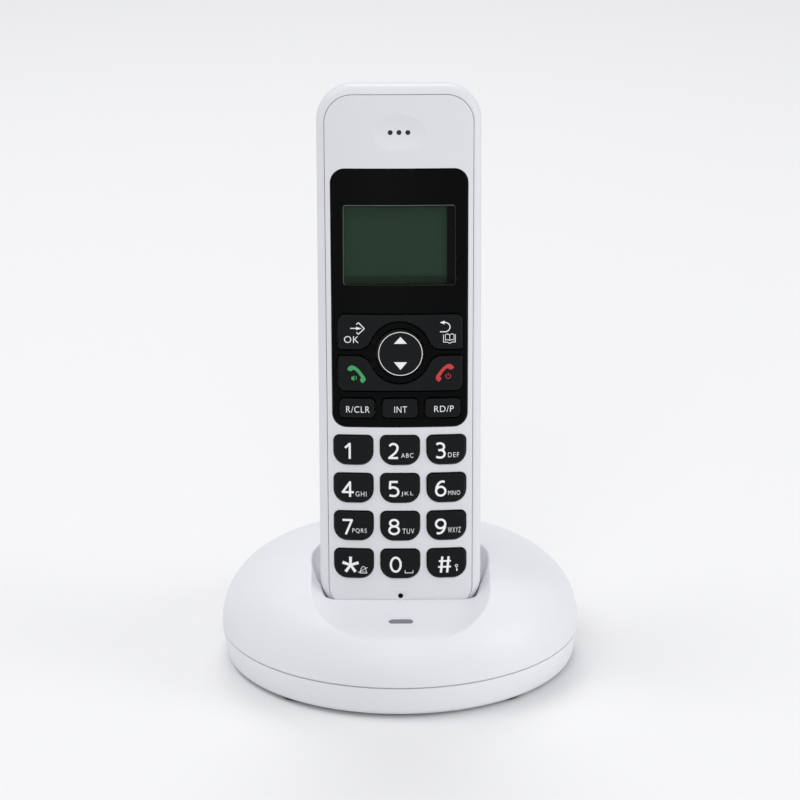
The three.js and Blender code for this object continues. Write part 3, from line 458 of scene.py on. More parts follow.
def rocker(side):
    """Bar over or under the round key, swept round its moat."""
    left, right, near, far, corner, sweep, moat, end = -17.5, 17.8, 0.95, 10.9, 1.8, 4, 9.05, 0.7
    rise = near + sweep
    run = sqrt((moat + sweep) ** 2 - rise * rise)
    lift = atan2(rise, run)
    arcs = [
        (left + end, near + end, end, pi, 1.5 * pi),
        (-run, rise, sweep, 1.5 * pi, 2 * pi - lift),
        (0, 0, moat, pi - lift, lift),
        (run, rise, sweep, pi + lift, 1.5 * pi),
        (right - end, near + end, end, 1.5 * pi, 2 * pi),
        (right - corner, far - corner, corner, 0, pi / 2),
        (left + corner, far - corner, corner, pi / 2, pi),
    ]
    shape = Outline(arcs, 12, 1.2)

    def outline(grow=0.0):
        points = [(x, NAV + side * y) for x, y in shape(grow)]
        return points if side > 0 else points[::-1]

    return outline


words = "1 2 3 4 5 6 7 8 9 star 0 hash".split()
number_keys = {"key_" + word: ((k % 3 - 1) * KEY_PITCH, TOP_ROW - k // 3 * KEY_RISE) for k, word in enumerate(words)}
small_outlines = {name: rectangle(9.9, 5.5, 1.2, x, SMALL_KEY_Y)
                  for name, x in (("key_recall", -12.2), ("key_intercom", 0), ("key_redial", 12.2))}
rockers = {"rocker_ok_back": 1, "rocker_talk_end": -1}

# ---------- handset: front
ear_holes = [(circle(0.7, 2.5 * k, EAR_Y, 24), 0.12, 1.8) for k in (-1, 0, 1)]
key_holes = [(grown(number_key(x, y), GAP), 0.2, 1.8) for x, y in number_keys.values()]
cover_holes = [(grown(panel_outline, GAP), 0.15, 2.2), (circle(0.75, 0, MICROPHONE_Y, 24), 0.1, 1.8)]
cover = plate(grown(cover_outline, 0.11), face, cover_holes + ear_holes + key_holes,
              edge=0.25, depth=5, spacing=(0.75, 0.75))
cover.build("front_cover", "handset", [cover_white], HANDSET, ["handset_front_cover"])

# Black disc behind the microphone hole: painted shade for the dark inside of the hole
mic_hole_shade_disc = plate(circle(1.6, 0, MICROPHONE_Y, 32), lambda x, y: -1.3, edge=0.05, depth=0.3)
mic_hole_shade_disc.build("microphone_hole_shade", "handset", [sheet_black], HANDSET)

panel_keys = [*small_outlines.values(), *(rocker(side) for side in rockers.values()), nav_outline]
panel_holes = [(grown(outline, GAP), 0.15, WALL) for outline in panel_keys]
panel_holes.append((grown(window_outline, 0.1), 0.12, WALL))
plate(panel_outline, crown, panel_holes, edge=0.3, depth=WALL, spacing=(1.5, 2)).build(
    "panel", "handset", [black], HANDSET, ["control_panel"])

caps = [(name, number_key(x, y), 0.42) for name, (x, y) in number_keys.items()]
caps += [(name, outline, 0.35) for name, outline in small_outlines.items()]
caps += [(name, rocker(side), 0.35) for name, side in rockers.items()]
for name, outline, round_edge in caps:
    key = plate(outline, cap, edge=round_edge, depth=CAP_DEPTH, spacing=(1.2, 2))
    key.build(name + "_cap", name, [key_black], HANDSET, [name])
round_key = plate(nav_outline, cap, edge=0.2, depth=CAP_DEPTH, spacing=(1.2, 1.2))
round_key.build("nav_cap", "nav_key", [key_black], HANDSET, ["nav_key"])

# ---------- handset: display
pane = plate(window_outline, crown, edge=0.22, depth=1.2, under=True, spacing=(1.5, 3))
pane.build("window_pane", "handset", [glass], HANDSET, ["display_window"])
screen = rounded([(-15.8, 95.8, 0.3), (13.5, 95.8, 0.3), (13.5, 117.8, 0.3), (-15.8, 117.8, 0.3)], 4)
# A black sheet under the pane round the screen's opening, widest on the right
screen_surround = plate(grown(window_outline, -0.25), lambda x, y: crown(x) - 1.3, [(screen, 0.02, 0.1)],
                    edge=0.02, depth=0.1)
screen_surround.build("black_sheet", "handset", [sheet_black], HANDSET)
rim = plate(grown(window_outline, -0.02), lambda x, y: crown(x) + 0.02, [(grown(window_outline, -0.3), 0.02, 0.3)],
            edge=0.26, depth=1)
for i, corners in enumerate(rim.faces):
    x, y, _ = rim.points[corners[0]]
    rim.slots[i] = int(x > 15.6 or y < 95.8)  # its right and lower sides take the darker copy, painted shade; the top and left keep the lighter copy, a painted highlight
rim.build("window_rim", "handset", [rim_painted_highlight, rim_painted_shade], HANDSET)
plate(rectangle(31.8, 22.8, 0.6, 0, WINDOW_Y), lambda x, y: -3.3, edge=0.3, depth=1.4).build(
    "lcd_screen", "handset", [lcd], HANDSET, ["lcd_module"])
# A darker green strip along the LCD's lower side
plate(rectangle(31.6, 2.4, 0.1, 0, 96.9), lambda x, y: -3.2, edge=0.02, depth=0.2).build(
    "lcd_foot", "handset", [lcd_lower_band], HANDSET)


# ---------- handset: rear housing
def back_depth(y):
    """Thickness of the handset along its length."""
    start = FOOT_LENGTH - STEP
    if y < start:
        return FOOT_DEPTH
    if y < FOOT_LENGTH:
        share = (y - start) / STEP
        return FOOT_DEPTH + (DEPTH - FOOT_DEPTH) * share * share * (3 - 2 * share)
    if y < TAPER_START:
        return DEPTH
    end = LENGTH + 0.8
    share = (y - TAPER_START) / (end - TAPER_START)
    return DEPTH - (DEPTH - TOP_DEPTH) * share ** 1.25


SEAM_EDGE = 0.22  # round at the housing's seam to the front cover
RECESS, BAY_FLOOR = -22.9, -10.8  # heights of the door's seat and of the battery bay's floor
SPEAKER_Y, THUMB_Y, RIB_PITCH = 106, 76, 2.2  # holes of the loudspeaker; dish in the battery door


def housing():
    """Rear housing, from the well behind the front's seam, over the rim and the sides, to the battery bay."""
    piece = Piece()
    rim = body_outline(0)
    seam = cover_outline(0.2)
    normals = outward(rim)
    seam_normals = outward(seam)
    reaches = [distance(rim, x, y) for x, y in seam]

    def front(x, reach):
        return crown(x) - (RIM - sqrt(max(0, RIM * RIM - (RIM - min(reach, RIM)) ** 2)))

    rings = []
    well = [(x, y, crown(x) - 5.6) for x, y in seam]
    rings.append(piece.ring(well, [(-u, -v, 0) for u, v in seam_normals]))
    for k in range(4):  # small round over the seam's edge
        turn = pi / 2 * k / 3
        points, directions = [], []
        for i, (x, y) in enumerate(seam):
            u, v = seam_normals[i]
            e = SEAM_EDGE * (1 - cos(turn))
            px, py = x + u * e, y + v * e
            z = front(px, max(0, reaches[i] - e)) - SEAM_EDGE * (1 - sin(turn))
            points.append((px, py, z))
            tilt = (RIM - min(reaches[i], RIM)) / RIM
            top = Vector((normals[i][0] * tilt, normals[i][1] * tilt, sqrt(1 - tilt * tilt)))
            directions.append((Vector((-u, -v, 0)) * cos(turn) + top * sin(turn)).normalized())
        rings.append(piece.ring(points, directions))
    for k in range(1, 13):  # equal turns round the rim
        share = k / 12
        points, directions = [], []
        for i, (x, y) in enumerate(seam):
            u, v = seam_normals[i]
            x, y = x + u * SEAM_EDGE, y + v * SEAM_EDGE
            reach = max(0, reaches[i] - SEAM_EDGE)
            start = acos(min(1, (RIM - min(reach, RIM)) / RIM))
            turn = start * (1 - share)
            e = RIM * (1 - cos(turn))
            part = 1 - e / reach if reach > 0.01 else share
            px, py = x + (rim[i][0] - x) * part, y + (rim[i][1] - y) * part
            points.append((px, py, front(px, e)))
            a, b = normals[i]
            directions.append(Vector((a * cos(turn), b * cos(turn), sin(turn))).normalized())
        rings.append(piece.ring(points, directions))
    radii = [7 - 3 * max(0.0, -v) ** 2 for u, v in normals]  # of the rear edge: smaller at the foot
    for z_share in (0.5, 1):
        points = []
        for i, (x, y) in enumerate(rim):
            high = front(x, 0)
            low = -(back_depth(y) - radii[i])
            points.append((x, y, high + (low - high) * z_share))
        rings.append(piece.ring(points, [(a, b, 0) for a, b in normals]))
    for k in range(1, 10):
        turn = pi / 2 * k / 9
        points, directions = [], []
        for i, (x, y) in enumerate(rim):
            a, b = normals[i]
            e = radii[i] * (1 - cos(turn))
            px, py = x - a * e, y - b * e
            points.append((px, py, -(back_depth(py) - radii[i]) - radii[i] * sin(turn)))
            directions.append(Vector((a * cos(turn), b * cos(turn), -sin(turn))).normalized())
        rings.append(piece.ring(points, directions))
    for a, b in zip(rings, rings[1:]):
        piece.band(a, b, flip=True)

    def back(x, y):
        return -back_depth(y)

    def rear_edge(outline, radius, floor):
        rows = []
        for k in range(6):
            turn = min(k / 4, 1) * pi / 2
            loop = outline(radius * (1 - sin(turn)))
            points, directions = [], []
            for (x, y), (u, v) in zip(loop, outward(loop)):
                z = back(x, y) + radius * (1 - cos(turn)) if k < 5 else floor
                points.append((x, y, z))
                directions.append(Vector((-u * sin(turn), -v * sin(turn), -cos(turn))).normalized())
            rows.append(piece.ring(points, directions))
        for a, b in zip(rows, rows[1:]):
            piece.band(a, b, flip=True)
        return rows[0], rows[-1]

    recess = rounded([(-16.3, 24.3, 0.5), (16.3, 24.3, 0.5), (16.3, 90.3, 3.3), (-16.3, 90.3, 3.3)], 10)
    recess_top, recess_low = rear_edge(recess, 0.18, RECESS)
    holes = [recess_top]
    for k in range(7):
        reach = 0 if k == 6 else 4.2
        hole = circle(0.7, reach * cos(k * pi / 3), SPEAKER_Y + reach * sin(k * pi / 3), 20)
        holes.append(rear_edge(hole, 0.12, -20)[0])
    piece.fill([rings[-1], *holes], back, (2, 1.5), flip=True)
    bay = rectangle(23.4, 51, 0.6, 0, 59, 3)
    floor_rim = piece.ring([piece.points[i] for i in recess_low], [(0, 0, -1)] * len(recess_low))
    loop = bay(0)
    backward = [(0, 0, -1)] * len(loop)
    bay_top = piece.ring([(x, y, RECESS) for x, y in loop], backward)
    piece.fill([floor_rim, bay_top], lambda x, y: RECESS, (6, 6), flip=True)
    inward = [(-u, -v, 0) for u, v in outward(loop)]
    wall_top = piece.ring([(x, y, RECESS) for x, y in loop], inward)
    wall_low = piece.ring([(x, y, BAY_FLOOR) for x, y in loop], inward)
    piece.band(wall_top, wall_low, flip=True)
    bay_floor = piece.ring([(x, y, BAY_FLOOR) for x, y in loop], backward)
    piece.face(bay_floor[::-1])
    return piece


housing().build("rear_housing", "handset", [cover_white], HANDSET, ["handset_rear_housing"])


def door_back(x, y):
    """Back of the battery door, with a ribbed dish for the thumb; measured outward."""
    z = DEPTH
    reach = (x / 9) ** 2 + ((y - THUMB_Y) / 6.5) ** 2
    if reach < 1:
        z -= 0.8 * (1 - reach) ** 0.8
        z += 0.45 * min(1, 3 * (1 - reach)) * max(0, cos((y - THUMB_Y) * 2 * pi / RIB_PITCH)) ** 2
    return z


FLIPPED = HANDSET @ Matrix.Rotation(pi, 4, "Y")
door = plate(rectangle(32, 61, 3, 0, 59.5, 10), lambda x, y: door_back(-x, y), edge=0.25, depth=1.8,
             spacing=(0.9, 0.36), under=True)
door.build("battery_door_skin", "battery_door", [cover_white], FLIPPED, ["battery_door"])

UNDERSIDE = HANDSET @ Matrix.Rotation(pi / 2, 4, "X")
for side, word in ((-1, "left"), (1, "right")):
    pin = plate(rectangle(5, 7, 0.4, side * PAD_X, PAD_Y, 4), lambda x, y: 0.12, edge=0.1, depth=0.5, spacing=(1, 1))
    pin.build("charge_pad_" + word, "handset", [nickel], UNDERSIDE, ["charge_pin_" + word])


# ---------- legends
def flat_polygons(text, box, bold=-0.004, apart=1.1):
    """Filled polygons of a line of text, stretched to a box (left, bottom, right, top)."""
    curve = bpy.data.curves.new("text", "FONT")
    curve.body, curve.resolution_u, curve.offset, curve.space_character = text, 4, bold, apart
    holder = placed("text", curve)
    bpy.context.view_layer.update()
    mesh = holder.to_mesh()
    points = [vertex.co.xy.copy() for vertex in mesh.vertices]
    faces = [[points[i].copy() for i in polygon.vertices] for polygon in mesh.polygons]
    holder.to_mesh_clear()
    bpy.data.objects.remove(holder)
    bpy.data.curves.remove(curve)
    low, high = extent(points)
    left, bottom, right, top = box
    return [[(left + (right - left) * (x - low[0]) / (high[0] - low[0]),
              bottom + (top - bottom) * (y - low[1]) / (high[1] - low[1])) for x, y in face] for face in faces]


def stroke(path, width, closed=False):
    """Polygons of a line drawn along a path: one for each run, and a disc at each bend."""
    runs = list(zip(path, path[1:] + path[:1])) if closed else list(zip(path, path[1:]))
    shapes = []
    for (x, y), (u, v) in runs:
        reach = hypot(u - x, v - y)
        a, b = (v - y) / reach * width / 2, (x - u) / reach * width / 2
        shapes.append([(x + a, y + b), (u + a, v + b), (u - a, v - b), (x - a, y - b)])
    bends = path if closed else path[1:-1]
    shapes += [circle(width / 2, x, y, 10)() for x, y in bends]
    return shapes


def legend(name, shapes, body, material, height=cap):
    """Ink on a key: the union of flat shapes, laid on the key's top."""
    piece = Piece()
    flat, faces = [], []
    for shape in shapes:
        area = sum(shape[i - 1][0] * shape[i][1] - shape[i][0] * shape[i - 1][1] for i in range(len(shape)))
        if abs(area) < 1e-5:
            continue
        faces.append(list(range(len(flat), len(flat) + len(shape))))
        flat += [Vector(point) for point in (shape if area > 0 else shape[::-1])]
    low, high = extent(flat)
    for i in range(int((high[0] - low[0]) / 0.7) + 1):
        for j in range(int((high[1] - low[1]) / 1.4) + 1):
            flat.append(Vector((low[0] + 0.7 * (i + 0.41), low[1] + 1.4 * (j + 0.37))))
    points, _, triangles, _, _, inside = delaunay_2d_cdt(flat, [], faces, 0, 1e-5, True)
    kept = [triangle for triangle, owners in zip(triangles, inside) if owners]
    used = sorted({i for triangle in kept for i in triangle})
    number = {i: k for k, i in enumerate(used)}
    places = [points[i] for i in used]
    top = piece.ring([(x, y, height(x, y) + INK) for x, y in places], [slope(height, x, y) for x, y in places])
    for triangle in kept:
        piece.face([top[number[i]] for i in triangle])
    return piece.build(name, body, [material], HANDSET)


def on_key(key, shapes_of):
    """Shapes given about a key's centre, moved to it."""
    x, y = number_keys[key]
    return [[(x + u, y + v) for u, v in shape] for shape in shapes_of]


def oval(x, y, a, b):
    return [(x + a * cos(k * pi / 12), y + b * sin(k * pi / 12)) for k in range(25)]


SIX = [[(0.92, 0.95), (0.72, 1), (0.46, 0.96), (0.22, 0.82), (0.06, 0.6), (0, 0.33)], oval(0.5, 0.31, 0.5, 0.31)]
DIGITS = {  # middle lines in a unit square; then left, bottom, right and top about the key's centre
    "1": ([[(0.72, -0.08), (0.72, 1), (-0.1, 0.7)]], (-2.6, -2.61, -0.36, 2.05)),
    "2": ([[(0.03, 0.84), (0.2, 0.95), (0.42, 1), (0.68, 0.97), (0.88, 0.87), (0.96, 0.72), (0.9, 0.56),
            (0.72, 0.38), (0, 0), (1, 0)]], (-3.43, -2.58, -0.3, 2.14)),
    "3": ([[(0.03, 0.92), (0.25, 1), (0.58, 1), (0.84, 0.91), (0.93, 0.76), (0.84, 0.6), (0.6, 0.53), (0.25, 0.52)],
           [(0.6, 0.53), (0.86, 0.46), (1, 0.28), (0.92, 0.11), (0.68, 0.01), (0.35, 0), (0, 0.06)]],
          (-3.3, -2.62, -0.22, 2.12)),
    "4": ([[(0.73, -0.08), (0.73, 1), (0, 0.27), (1.1, 0.27)]], (-3.52, -2.68, 0, 1.9)),
    "5": ([[(0.93, 1), (0.1, 1), (0.05, 0.54), (0.3, 0.62), (0.62, 0.6), (0.9, 0.49), (1, 0.31), (0.93, 0.13),
            (0.7, 0.01), (0.35, 0), (0, 0.05)]], (-3.42, -2.6, -0.22, 2.1)),
    "6": (SIX, (-3.35, -2.66, -0.05, 2.08)),
    "7": ([[(-0.1, 1), (1, 1), (0.28, -0.08)]], (-3.38, -2.62, -0.3, 1.88)),
    "8": ([oval(0.5, 0.77, 0.42, 0.23), oval(0.5, 0.27, 0.5, 0.27)], (-3.5, -2.68, -0.1, 2.06)),
    "9": ([[(1 - x, 1 - y) for x, y in path] for path in SIX], (-3.4, -2.68, -0.1, 1.98)),
    "0": ([oval(0.5, 0.5, 0.5, 0.5)], (-3.1, -2.66, 0.35, 2.06)),
}
LETTERS = {  # left, bottom, right, top
    "2": ("ABC", (0.3, -2.21, 3.77, -0.91)), "3": ("DEF", (0.42, -2.28, 3.6, -0.91)),
    "4": ("GHI", (0.51, -2.5, 3.62, -1.05)), "5": ("JKL", (0.25, -2.43, 3.75, -1.05)),
    "6": ("MNO", (0.44, -2.28, 3.88, -0.98)), "7": ("PQRS", (-0.49, -2.28, 3.63, -0.82)),
    "8": ("TUV", (0.62, -2.28, 3.96, -0.82)), "9": ("WXYZ", (0.35, -2.2, 4.04, -0.65)),
}
WIDTH = 0.62  # of the digits' lines
for digit, (paths, (left, bottom, right, top)) in DIGITS.items():
    wide, high = right - left - WIDTH, top - bottom - WIDTH
    shapes = []
    for path in paths:
        shapes += stroke([(left + WIDTH / 2 + wide * x, bottom + WIDTH / 2 + high * y) for x, y in path], WIDTH)
    if digit in LETTERS:
        shapes += flat_polygons(*LETTERS[digit], -0.006, 1.2)
    if digit == "0":
        shapes += stroke([(1.3, -1.98), (1.3, -2.72), (3.56, -2.72), (3.56, -1.98)], 0.18)
    legend("legend_" + digit, on_key("key_" + digit, shapes), "key_" + digit, ink)

star = []
for k in range(5):
    turn = pi / 2 + 2 * pi * k / 5
    a, b = cos(turn), sin(turn)
    star.append([(-1.07 + a * r - b * w, -0.56 + b * r + a * w)
                 for r, w in ((0, -0.34), (2.42, -0.43), (2.42, 0.43), (0, 0.34))])
bell = [(1.6, -2.85), (1.82, -2.45), (1.9, -1.75), (2.15, -1.15), (2.62, -0.87), (3.1, -1.15), (3.35, -1.75),
        (3.43, -2.45), (3.65, -2.85)]
star += stroke(bell, 0.16, closed=True) + stroke([(1.14, -2.71), (3.82, -1.12)], 0.15)
star += stroke([(1.9, -2.5), (3.35, -2.5)], 0.11)
legend("legend_star", on_key("key_star", star), "key_star", ink)
hash_mark = [[(x - 0.33, -2.84), (x + 0.33, -2.84), (x + 0.74, 1.86), (x + 0.08, 1.86)] for x in (-1.69, 0.11)]
hash_mark += [[(-2.3, 0.3), (1.2, 0.3), (1.2, 0.8), (-2.3, 0.8)],
              [(-2.5, -1.39), (1.2, -1.39), (1.2, -0.89), (-2.5, -0.89)]]
hash_mark += stroke(oval(2.8, -0.92, 0.36, 0.36), 0.18) + stroke([(2.83, -1.28), (2.85, -2.5)], 0.2)
hash_mark += stroke([(2.85, -1.88), (3.18, -2.02)], 0.2) + stroke([(2.85, -2.35), (3.12, -2.35)], 0.2)
legend("legend_hash", on_key("key_hash", hash_mark), "key_hash", ink)

small_texts = {"recall": ("R/CLR", (-15.36, 59.14, -8.65, 60.99)), "intercom": ("INT", (-1.62, 59.2, 1.97, 61)),
               "redial": ("RD/P", (9.77, 59.25, 15.36, 61.05))}
for word, (text, box) in small_texts.items():
    legend("legend_" + word, flat_polygons(text, box), "key_" + word, ink)


UNIT_X, UNIT_Y = 0.0287, 0.0292  # millimetres per unit of the icons' drawing
LINE, THIN_LINE = 0.27, 0.2  # widths of the icons' lines


def icon(points):
    """Drawing units, y downward, with the round key's centre at (780, 533), to millimetres."""
    return [((x - 780) * UNIT_X, NAV + (533 - y) * UNIT_Y) for x, y in points]


ok_back = flat_polygons("OK", (-15.87, NAV + 2.85, -11.67, NAV + 4.83))
ok_back += stroke(icon([(289, 292), (362, 292)]), LINE) + [icon([(348, 276), (348, 308), (404, 292)])]
ok_back += stroke(icon([(350, 254), (371, 236), (429, 292), (371, 348), (350, 331)]), LINE)
turn_path = icon([(1214, 237), (1238, 237), (1264, 248), (1279, 270), (1279, 292), (1266, 316), (1240, 328),
                  (1179, 328)])
ok_back += stroke(turn_path, LINE) + [icon([(1178, 237), (1226, 219), (1226, 255)])]
pages = icon([(1233, 356), (1256, 349), (1276, 361), (1296, 349), (1319, 356), (1319, 411), (1296, 405),
              (1276, 415), (1256, 405), (1233, 411)])
ok_back += stroke(pages, 0.17, closed=True) + stroke(icon([(1276, 361), (1276, 415)]), 0.17)
binding = icon([(1214, 356), (1214, 430), (1252, 430), (1276, 442), (1300, 430), (1332, 430), (1332, 356)])
ok_back += stroke(binding, 0.18)
legend("legend_ok_back", ok_back, "rocker_ok_back", ink)
receiver = [(257, 694), (269, 672), (289, 659), (309, 655), (334, 664), (367, 687), (403, 728), (428, 762),
            (441, 788), (436, 804), (417, 825), (406, 829), (389, 811), (382, 797), (396, 777), (369, 736),
            (343, 708), (320, 695), (304, 708), (288, 712), (270, 706)]
speaker = [icon([(298, 768), (308, 768), (328, 755), (328, 808), (308, 796), (298, 796)]),
           icon([(342, 760), (351, 760), (351, 797), (342, 797)])]
legend("legend_talk", [icon(receiver)] + speaker, "rocker_talk_end", ink_green)
power = [(1260 + 24 * sin(radians(a)), 764 - 24 * cos(radians(a))) for a in range(40, 321, 20)]
end_call = [icon([(1576 - x, y - 11) for x, y in receiver])] + stroke(icon(power), THIN_LINE)
end_call += stroke(icon([(1260, 732), (1260, 760)]), THIN_LINE)
legend("legend_end", end_call, "rocker_talk_end", ink_red)
arrows = [[(0.19, NAV + 4.65), (-1.68, NAV + 2.68), (2.06, NAV + 2.68)],
          [(0.19, NAV - 4.8), (2.06, NAV - 2.6), (-1.68, NAV - 2.6)]]
ring = [(0.19 + 6.2 * cos(k * pi / 36), NAV - 0.2 + 6.16 * sin(k * pi / 36)) for k in range(72)]
legend("legend_nav", arrows + stroke(ring, 0.19, closed=True), "nav_key", ink)


# ---------- base: upper shell
def dome_z(r):
    """Height of the turned dome."""
    share = min(1.0, (r / RADIUS) ** 2)
    return PARTING + DOME * (1 - share * share) ** (0.5 / DOME_POWER)


SCOOP = 25.9, 31.3, -17.3, 20.5  # half width, half length, middle and corner of the bowl's plan
SCOOP_DEPTH = 4.15
STEEP_DEPTH, STEEP_REACH = 7, 4.5  # of the fall beside the handset
SOFTENING = 0.06  # rounds the scoop's edge
LIP_IN, LIP_OUT = 0.9, 1.38  # reach of the bowl's lip to either side of the scoop's edge
SHOULDER = 50.4  # radius outside which the shell is turned
CUP_HALF, CUP_CORNER, CUP_HEIGHT = 23.6, 11.5, 11.2  # half width, lower corner and where that corner ends


def scoop_inset(x, y):
    """Distance inside the scoop's plan; negative outside."""
    half, length, middle, corner = SCOOP
    qx, qy = abs(x) - half + corner, abs(y - middle) - length + corner
    return corner - hypot(max(qx, 0), max(qy, 0)) - min(max(qx, qy), 0)


def blend(share):
    share = min(max(share, 0), 1)
    return share * share * (3 - 2 * share)


def surface(x, y):
    """Dome, lowered into a bowl inside the scoop's edge: gently in front, steeply beside the handset."""
    inset = scoop_inset(x, y)
    inset = (inset + sqrt(inset * inset + SOFTENING)) / 2
    x, r = abs(x), hypot(x, y)
    gentle = SCOOP_DEPTH * (1 - (1 - min(inset / (12 - 4 * blend((x - 8) / 12)), 1)) ** 2)
    steep = STEEP_DEPTH * (1 - (1 - min(inset / STEEP_REACH, 1)) ** 2)
    beside = blend((x - 15) / 7) * blend((y + 22 - 3.2 * max(x - 23.4, 0)) / 5)
    return dome_z(r) - gentle - (steep - gentle) * beside


def well_section(grow, front):
    """Points (x, z) of the handset's section, grown by its clearances and cut where the foot's back is."""
    half, rim, corner = HALF + grow, RIM + grow, 7 + grow
    flat = half - rim
    rim_z = sqrt((CROWN + front) ** 2 - flat * flat) - CROWN - rim
    back = -DEPTH - grow

    def bend(x, z, radius, start, stop):
        turns = [radians(start + (stop - start) * k / 14) for k in range(15)]
        return [(x + radius * cos(turn), z + radius * sin(turn)) for turn in turns]

    points = bend(-half + corner, back + corner, corner, 180, 270)
    points += bend(half - corner, back + corner, corner, 270, 360) + bend(flat, rim_z, rim, 0, 78)
    arc = [(flat - 1) * (1 - k / 30) for k in range(61)]
    points += [(x, sqrt((CROWN + front) ** 2 - x * x) - CROWN) for x in arc]
    points += bend(-flat, rim_z, rim, 102, 180)
    clipped = [(x, max(z, -FOOT_DEPTH - grow)) for x, z in points]
    dense = []
    for i, (x, z) in enumerate(clipped):
        u, v = clipped[(i + 1) % len(clipped)]
        count = max(1, ceil(hypot(u - x, v - z) / 1.0))
        dense += [(x + (u - x) * k / count, z + (v - z) * k / count) for k in range(count)]
    return [(x, z) for i, (x, z) in enumerate(dense) if hypot(x - dense[i - 1][0], z - dense[i - 1][1]) > 0.05]


def cup_half(y):
    """Half width of the cup for the handset, above its floor."""
    return CUP_HALF - CUP_CORNER + sqrt(max(0.0, CUP_CORNER ** 2 - max(0.0, CUP_HEIGHT - y) ** 2))


def upper_shell():
    """Upper shell along rays from the well's middle: cup wall, bowl, the bowl's lip, dome, seam."""
    piece = Piece()
    to_base = BASE.inverted() @ HANDSET
    to_handset = to_base.inverted()
    section = well_section(0.5, 0.2)
    middle = Vector((0, -18))

    def in_well(p):
        x, y, z = to_handset @ Vector((p.x, p.y, surface(p.x, p.y)))
        inside = False
        for i, (u, v) in enumerate(section):
            a, b = section[i - 1]
            if (v > z) != (b > z) and x < (a - u) * (z - v) / (b - v) + u:
                inside = not inside
        return inside and abs(x) < cup_half(y)

    def reach_of(way, start, end, test):
        for _ in range(26):
            mid = (start + end) / 2
            start, end = (mid, end) if test(middle + way * mid) else (start, mid)
        return start

    ways = [((to_base @ Vector((x, 8.0, z))).xy - middle).normalized() for x, z in section]
    ways.sort(key=lambda way: atan2(way.y, way.x))
    rays, well = [], []
    for way in ways:
        start = reach_of(way, 0, 40, in_well)
        rim = middle + way * start
        well.append(to_handset @ Vector((rim.x, rim.y, surface(rim.x, rim.y))))
        rays.append((way, start, reach_of(way, start, 80, lambda p: scoop_inset(p.x, p.y) > 0),
                     reach_of(way, start, 90, lambda p: p.length < SHOULDER)))

    rings = []
    edge = 0.3
    for k in range(13):
        points = []
        for x, y, z in well:
            height = -GAP + (y - edge + GAP) * (k / 12) ** 1.6
            points.append(to_base @ Vector((max(-cup_half(height), min(cup_half(height), x)), height, z)))
        rings.append(piece.ring(points))
    for k in range(1, 5):
        turn = pi / 2 * k / 4
        points = []
        for way, start, _, _ in rays:
            p = middle + way * (start + edge * (1 - cos(turn)))
            points.append((p.x, p.y, surface(p.x, p.y) - edge * (1 - sin(turn))))
        rings.append(piece.ring(points))
    spots = [("mid", k / 9) for k in range(1, 9)] + [("lip", 0.12 * k - LIP_IN) for k in range(20)]
    spots += [("out", (k / 34) ** 1.3) for k in range(1, 35)]
    for kind, value in spots:
        points = []
        for way, start, lip, shoulder in rays:
            inner, outer = start + edge, lip - LIP_IN
            if kind == "mid":
                reach = inner + (outer - inner) * value
            elif kind == "lip":
                reach = lip + value
            else:
                reach = lip + LIP_OUT + (shoulder - lip - LIP_OUT) * value
            p = middle + way * reach
            points.append((p.x, p.y, surface(p.x, p.y)))
        rings.append(piece.ring(points))
    outer = [piece.points[i] for i in rings[-1]]
    turns = [atan2(y, x) for x, y, z in outer]
    for k in range(1, 25):
        r0 = SHOULDER / RADIUS
        t0 = atan2(r0 * r0, sqrt(1 - r0 ** 4))
        t = t0 + (pi / 2 - t0) * k / 24
        r, z = RADIUS * sqrt(sin(t)), PARTING + DOME * max(0, cos(t)) ** (1 / DOME_POWER)
        z = max(z, PARTING + 0.45)
        rings.append(piece.ring([(r * cos(a), r * sin(a), z) for a in turns]))
        if z == PARTING + 0.45:
            break
    for r, z in ((RADIUS - 0.02, PARTING + 0.32), (RADIUS - 0.12, PARTING + 0.2), (RADIUS - 0.3, PARTING + 0.15)):
        rings.append(piece.ring([(r * cos(a), r * sin(a), z) for a in turns]))
    for a, b in zip(rings, rings[1:]):
        piece.band(a, b, flip=True)
    piece.face(rings[0])
    piece.face(rings[-1][::-1])
    return piece


shell = upper_shell().build("dome", "base", [white], BASE, ["base_upper_shell"])
GUIDE = rectangle(6.8, 2.1, 1.049, 0, -40.8, 10)
BACK = 45  # flat wall of the socket bay
BAY_LOW, BAY_HIGH, MOUTH = 9.65, 21.65, 15.8
BEHIND = Matrix.Scale(0.001, 4) @ Matrix.Rotation(pi / 2, 4, "X")  # x, z of the base; depth runs towards -y

cutters = [
    block(grown(GUIDE, 0.1), 14, 40, BASE),
    block(rectangle(48, 2 * (BAY_HIGH - BAY_LOW), 1.2, 0, BAY_LOW, 6), -60, -BACK + 2.2, BEHIND),
    block(rectangle(50, 26, 1, 0, 29.8), 5, 20.8, BASE),
]
for side in (-1, 1):
    cutters.append(block(rectangle(4.4, 9, 0.6, side * PAD_X, PAD_Y, 4), -3, 9, UNDERSIDE))
carve(shell, cutters, 30)

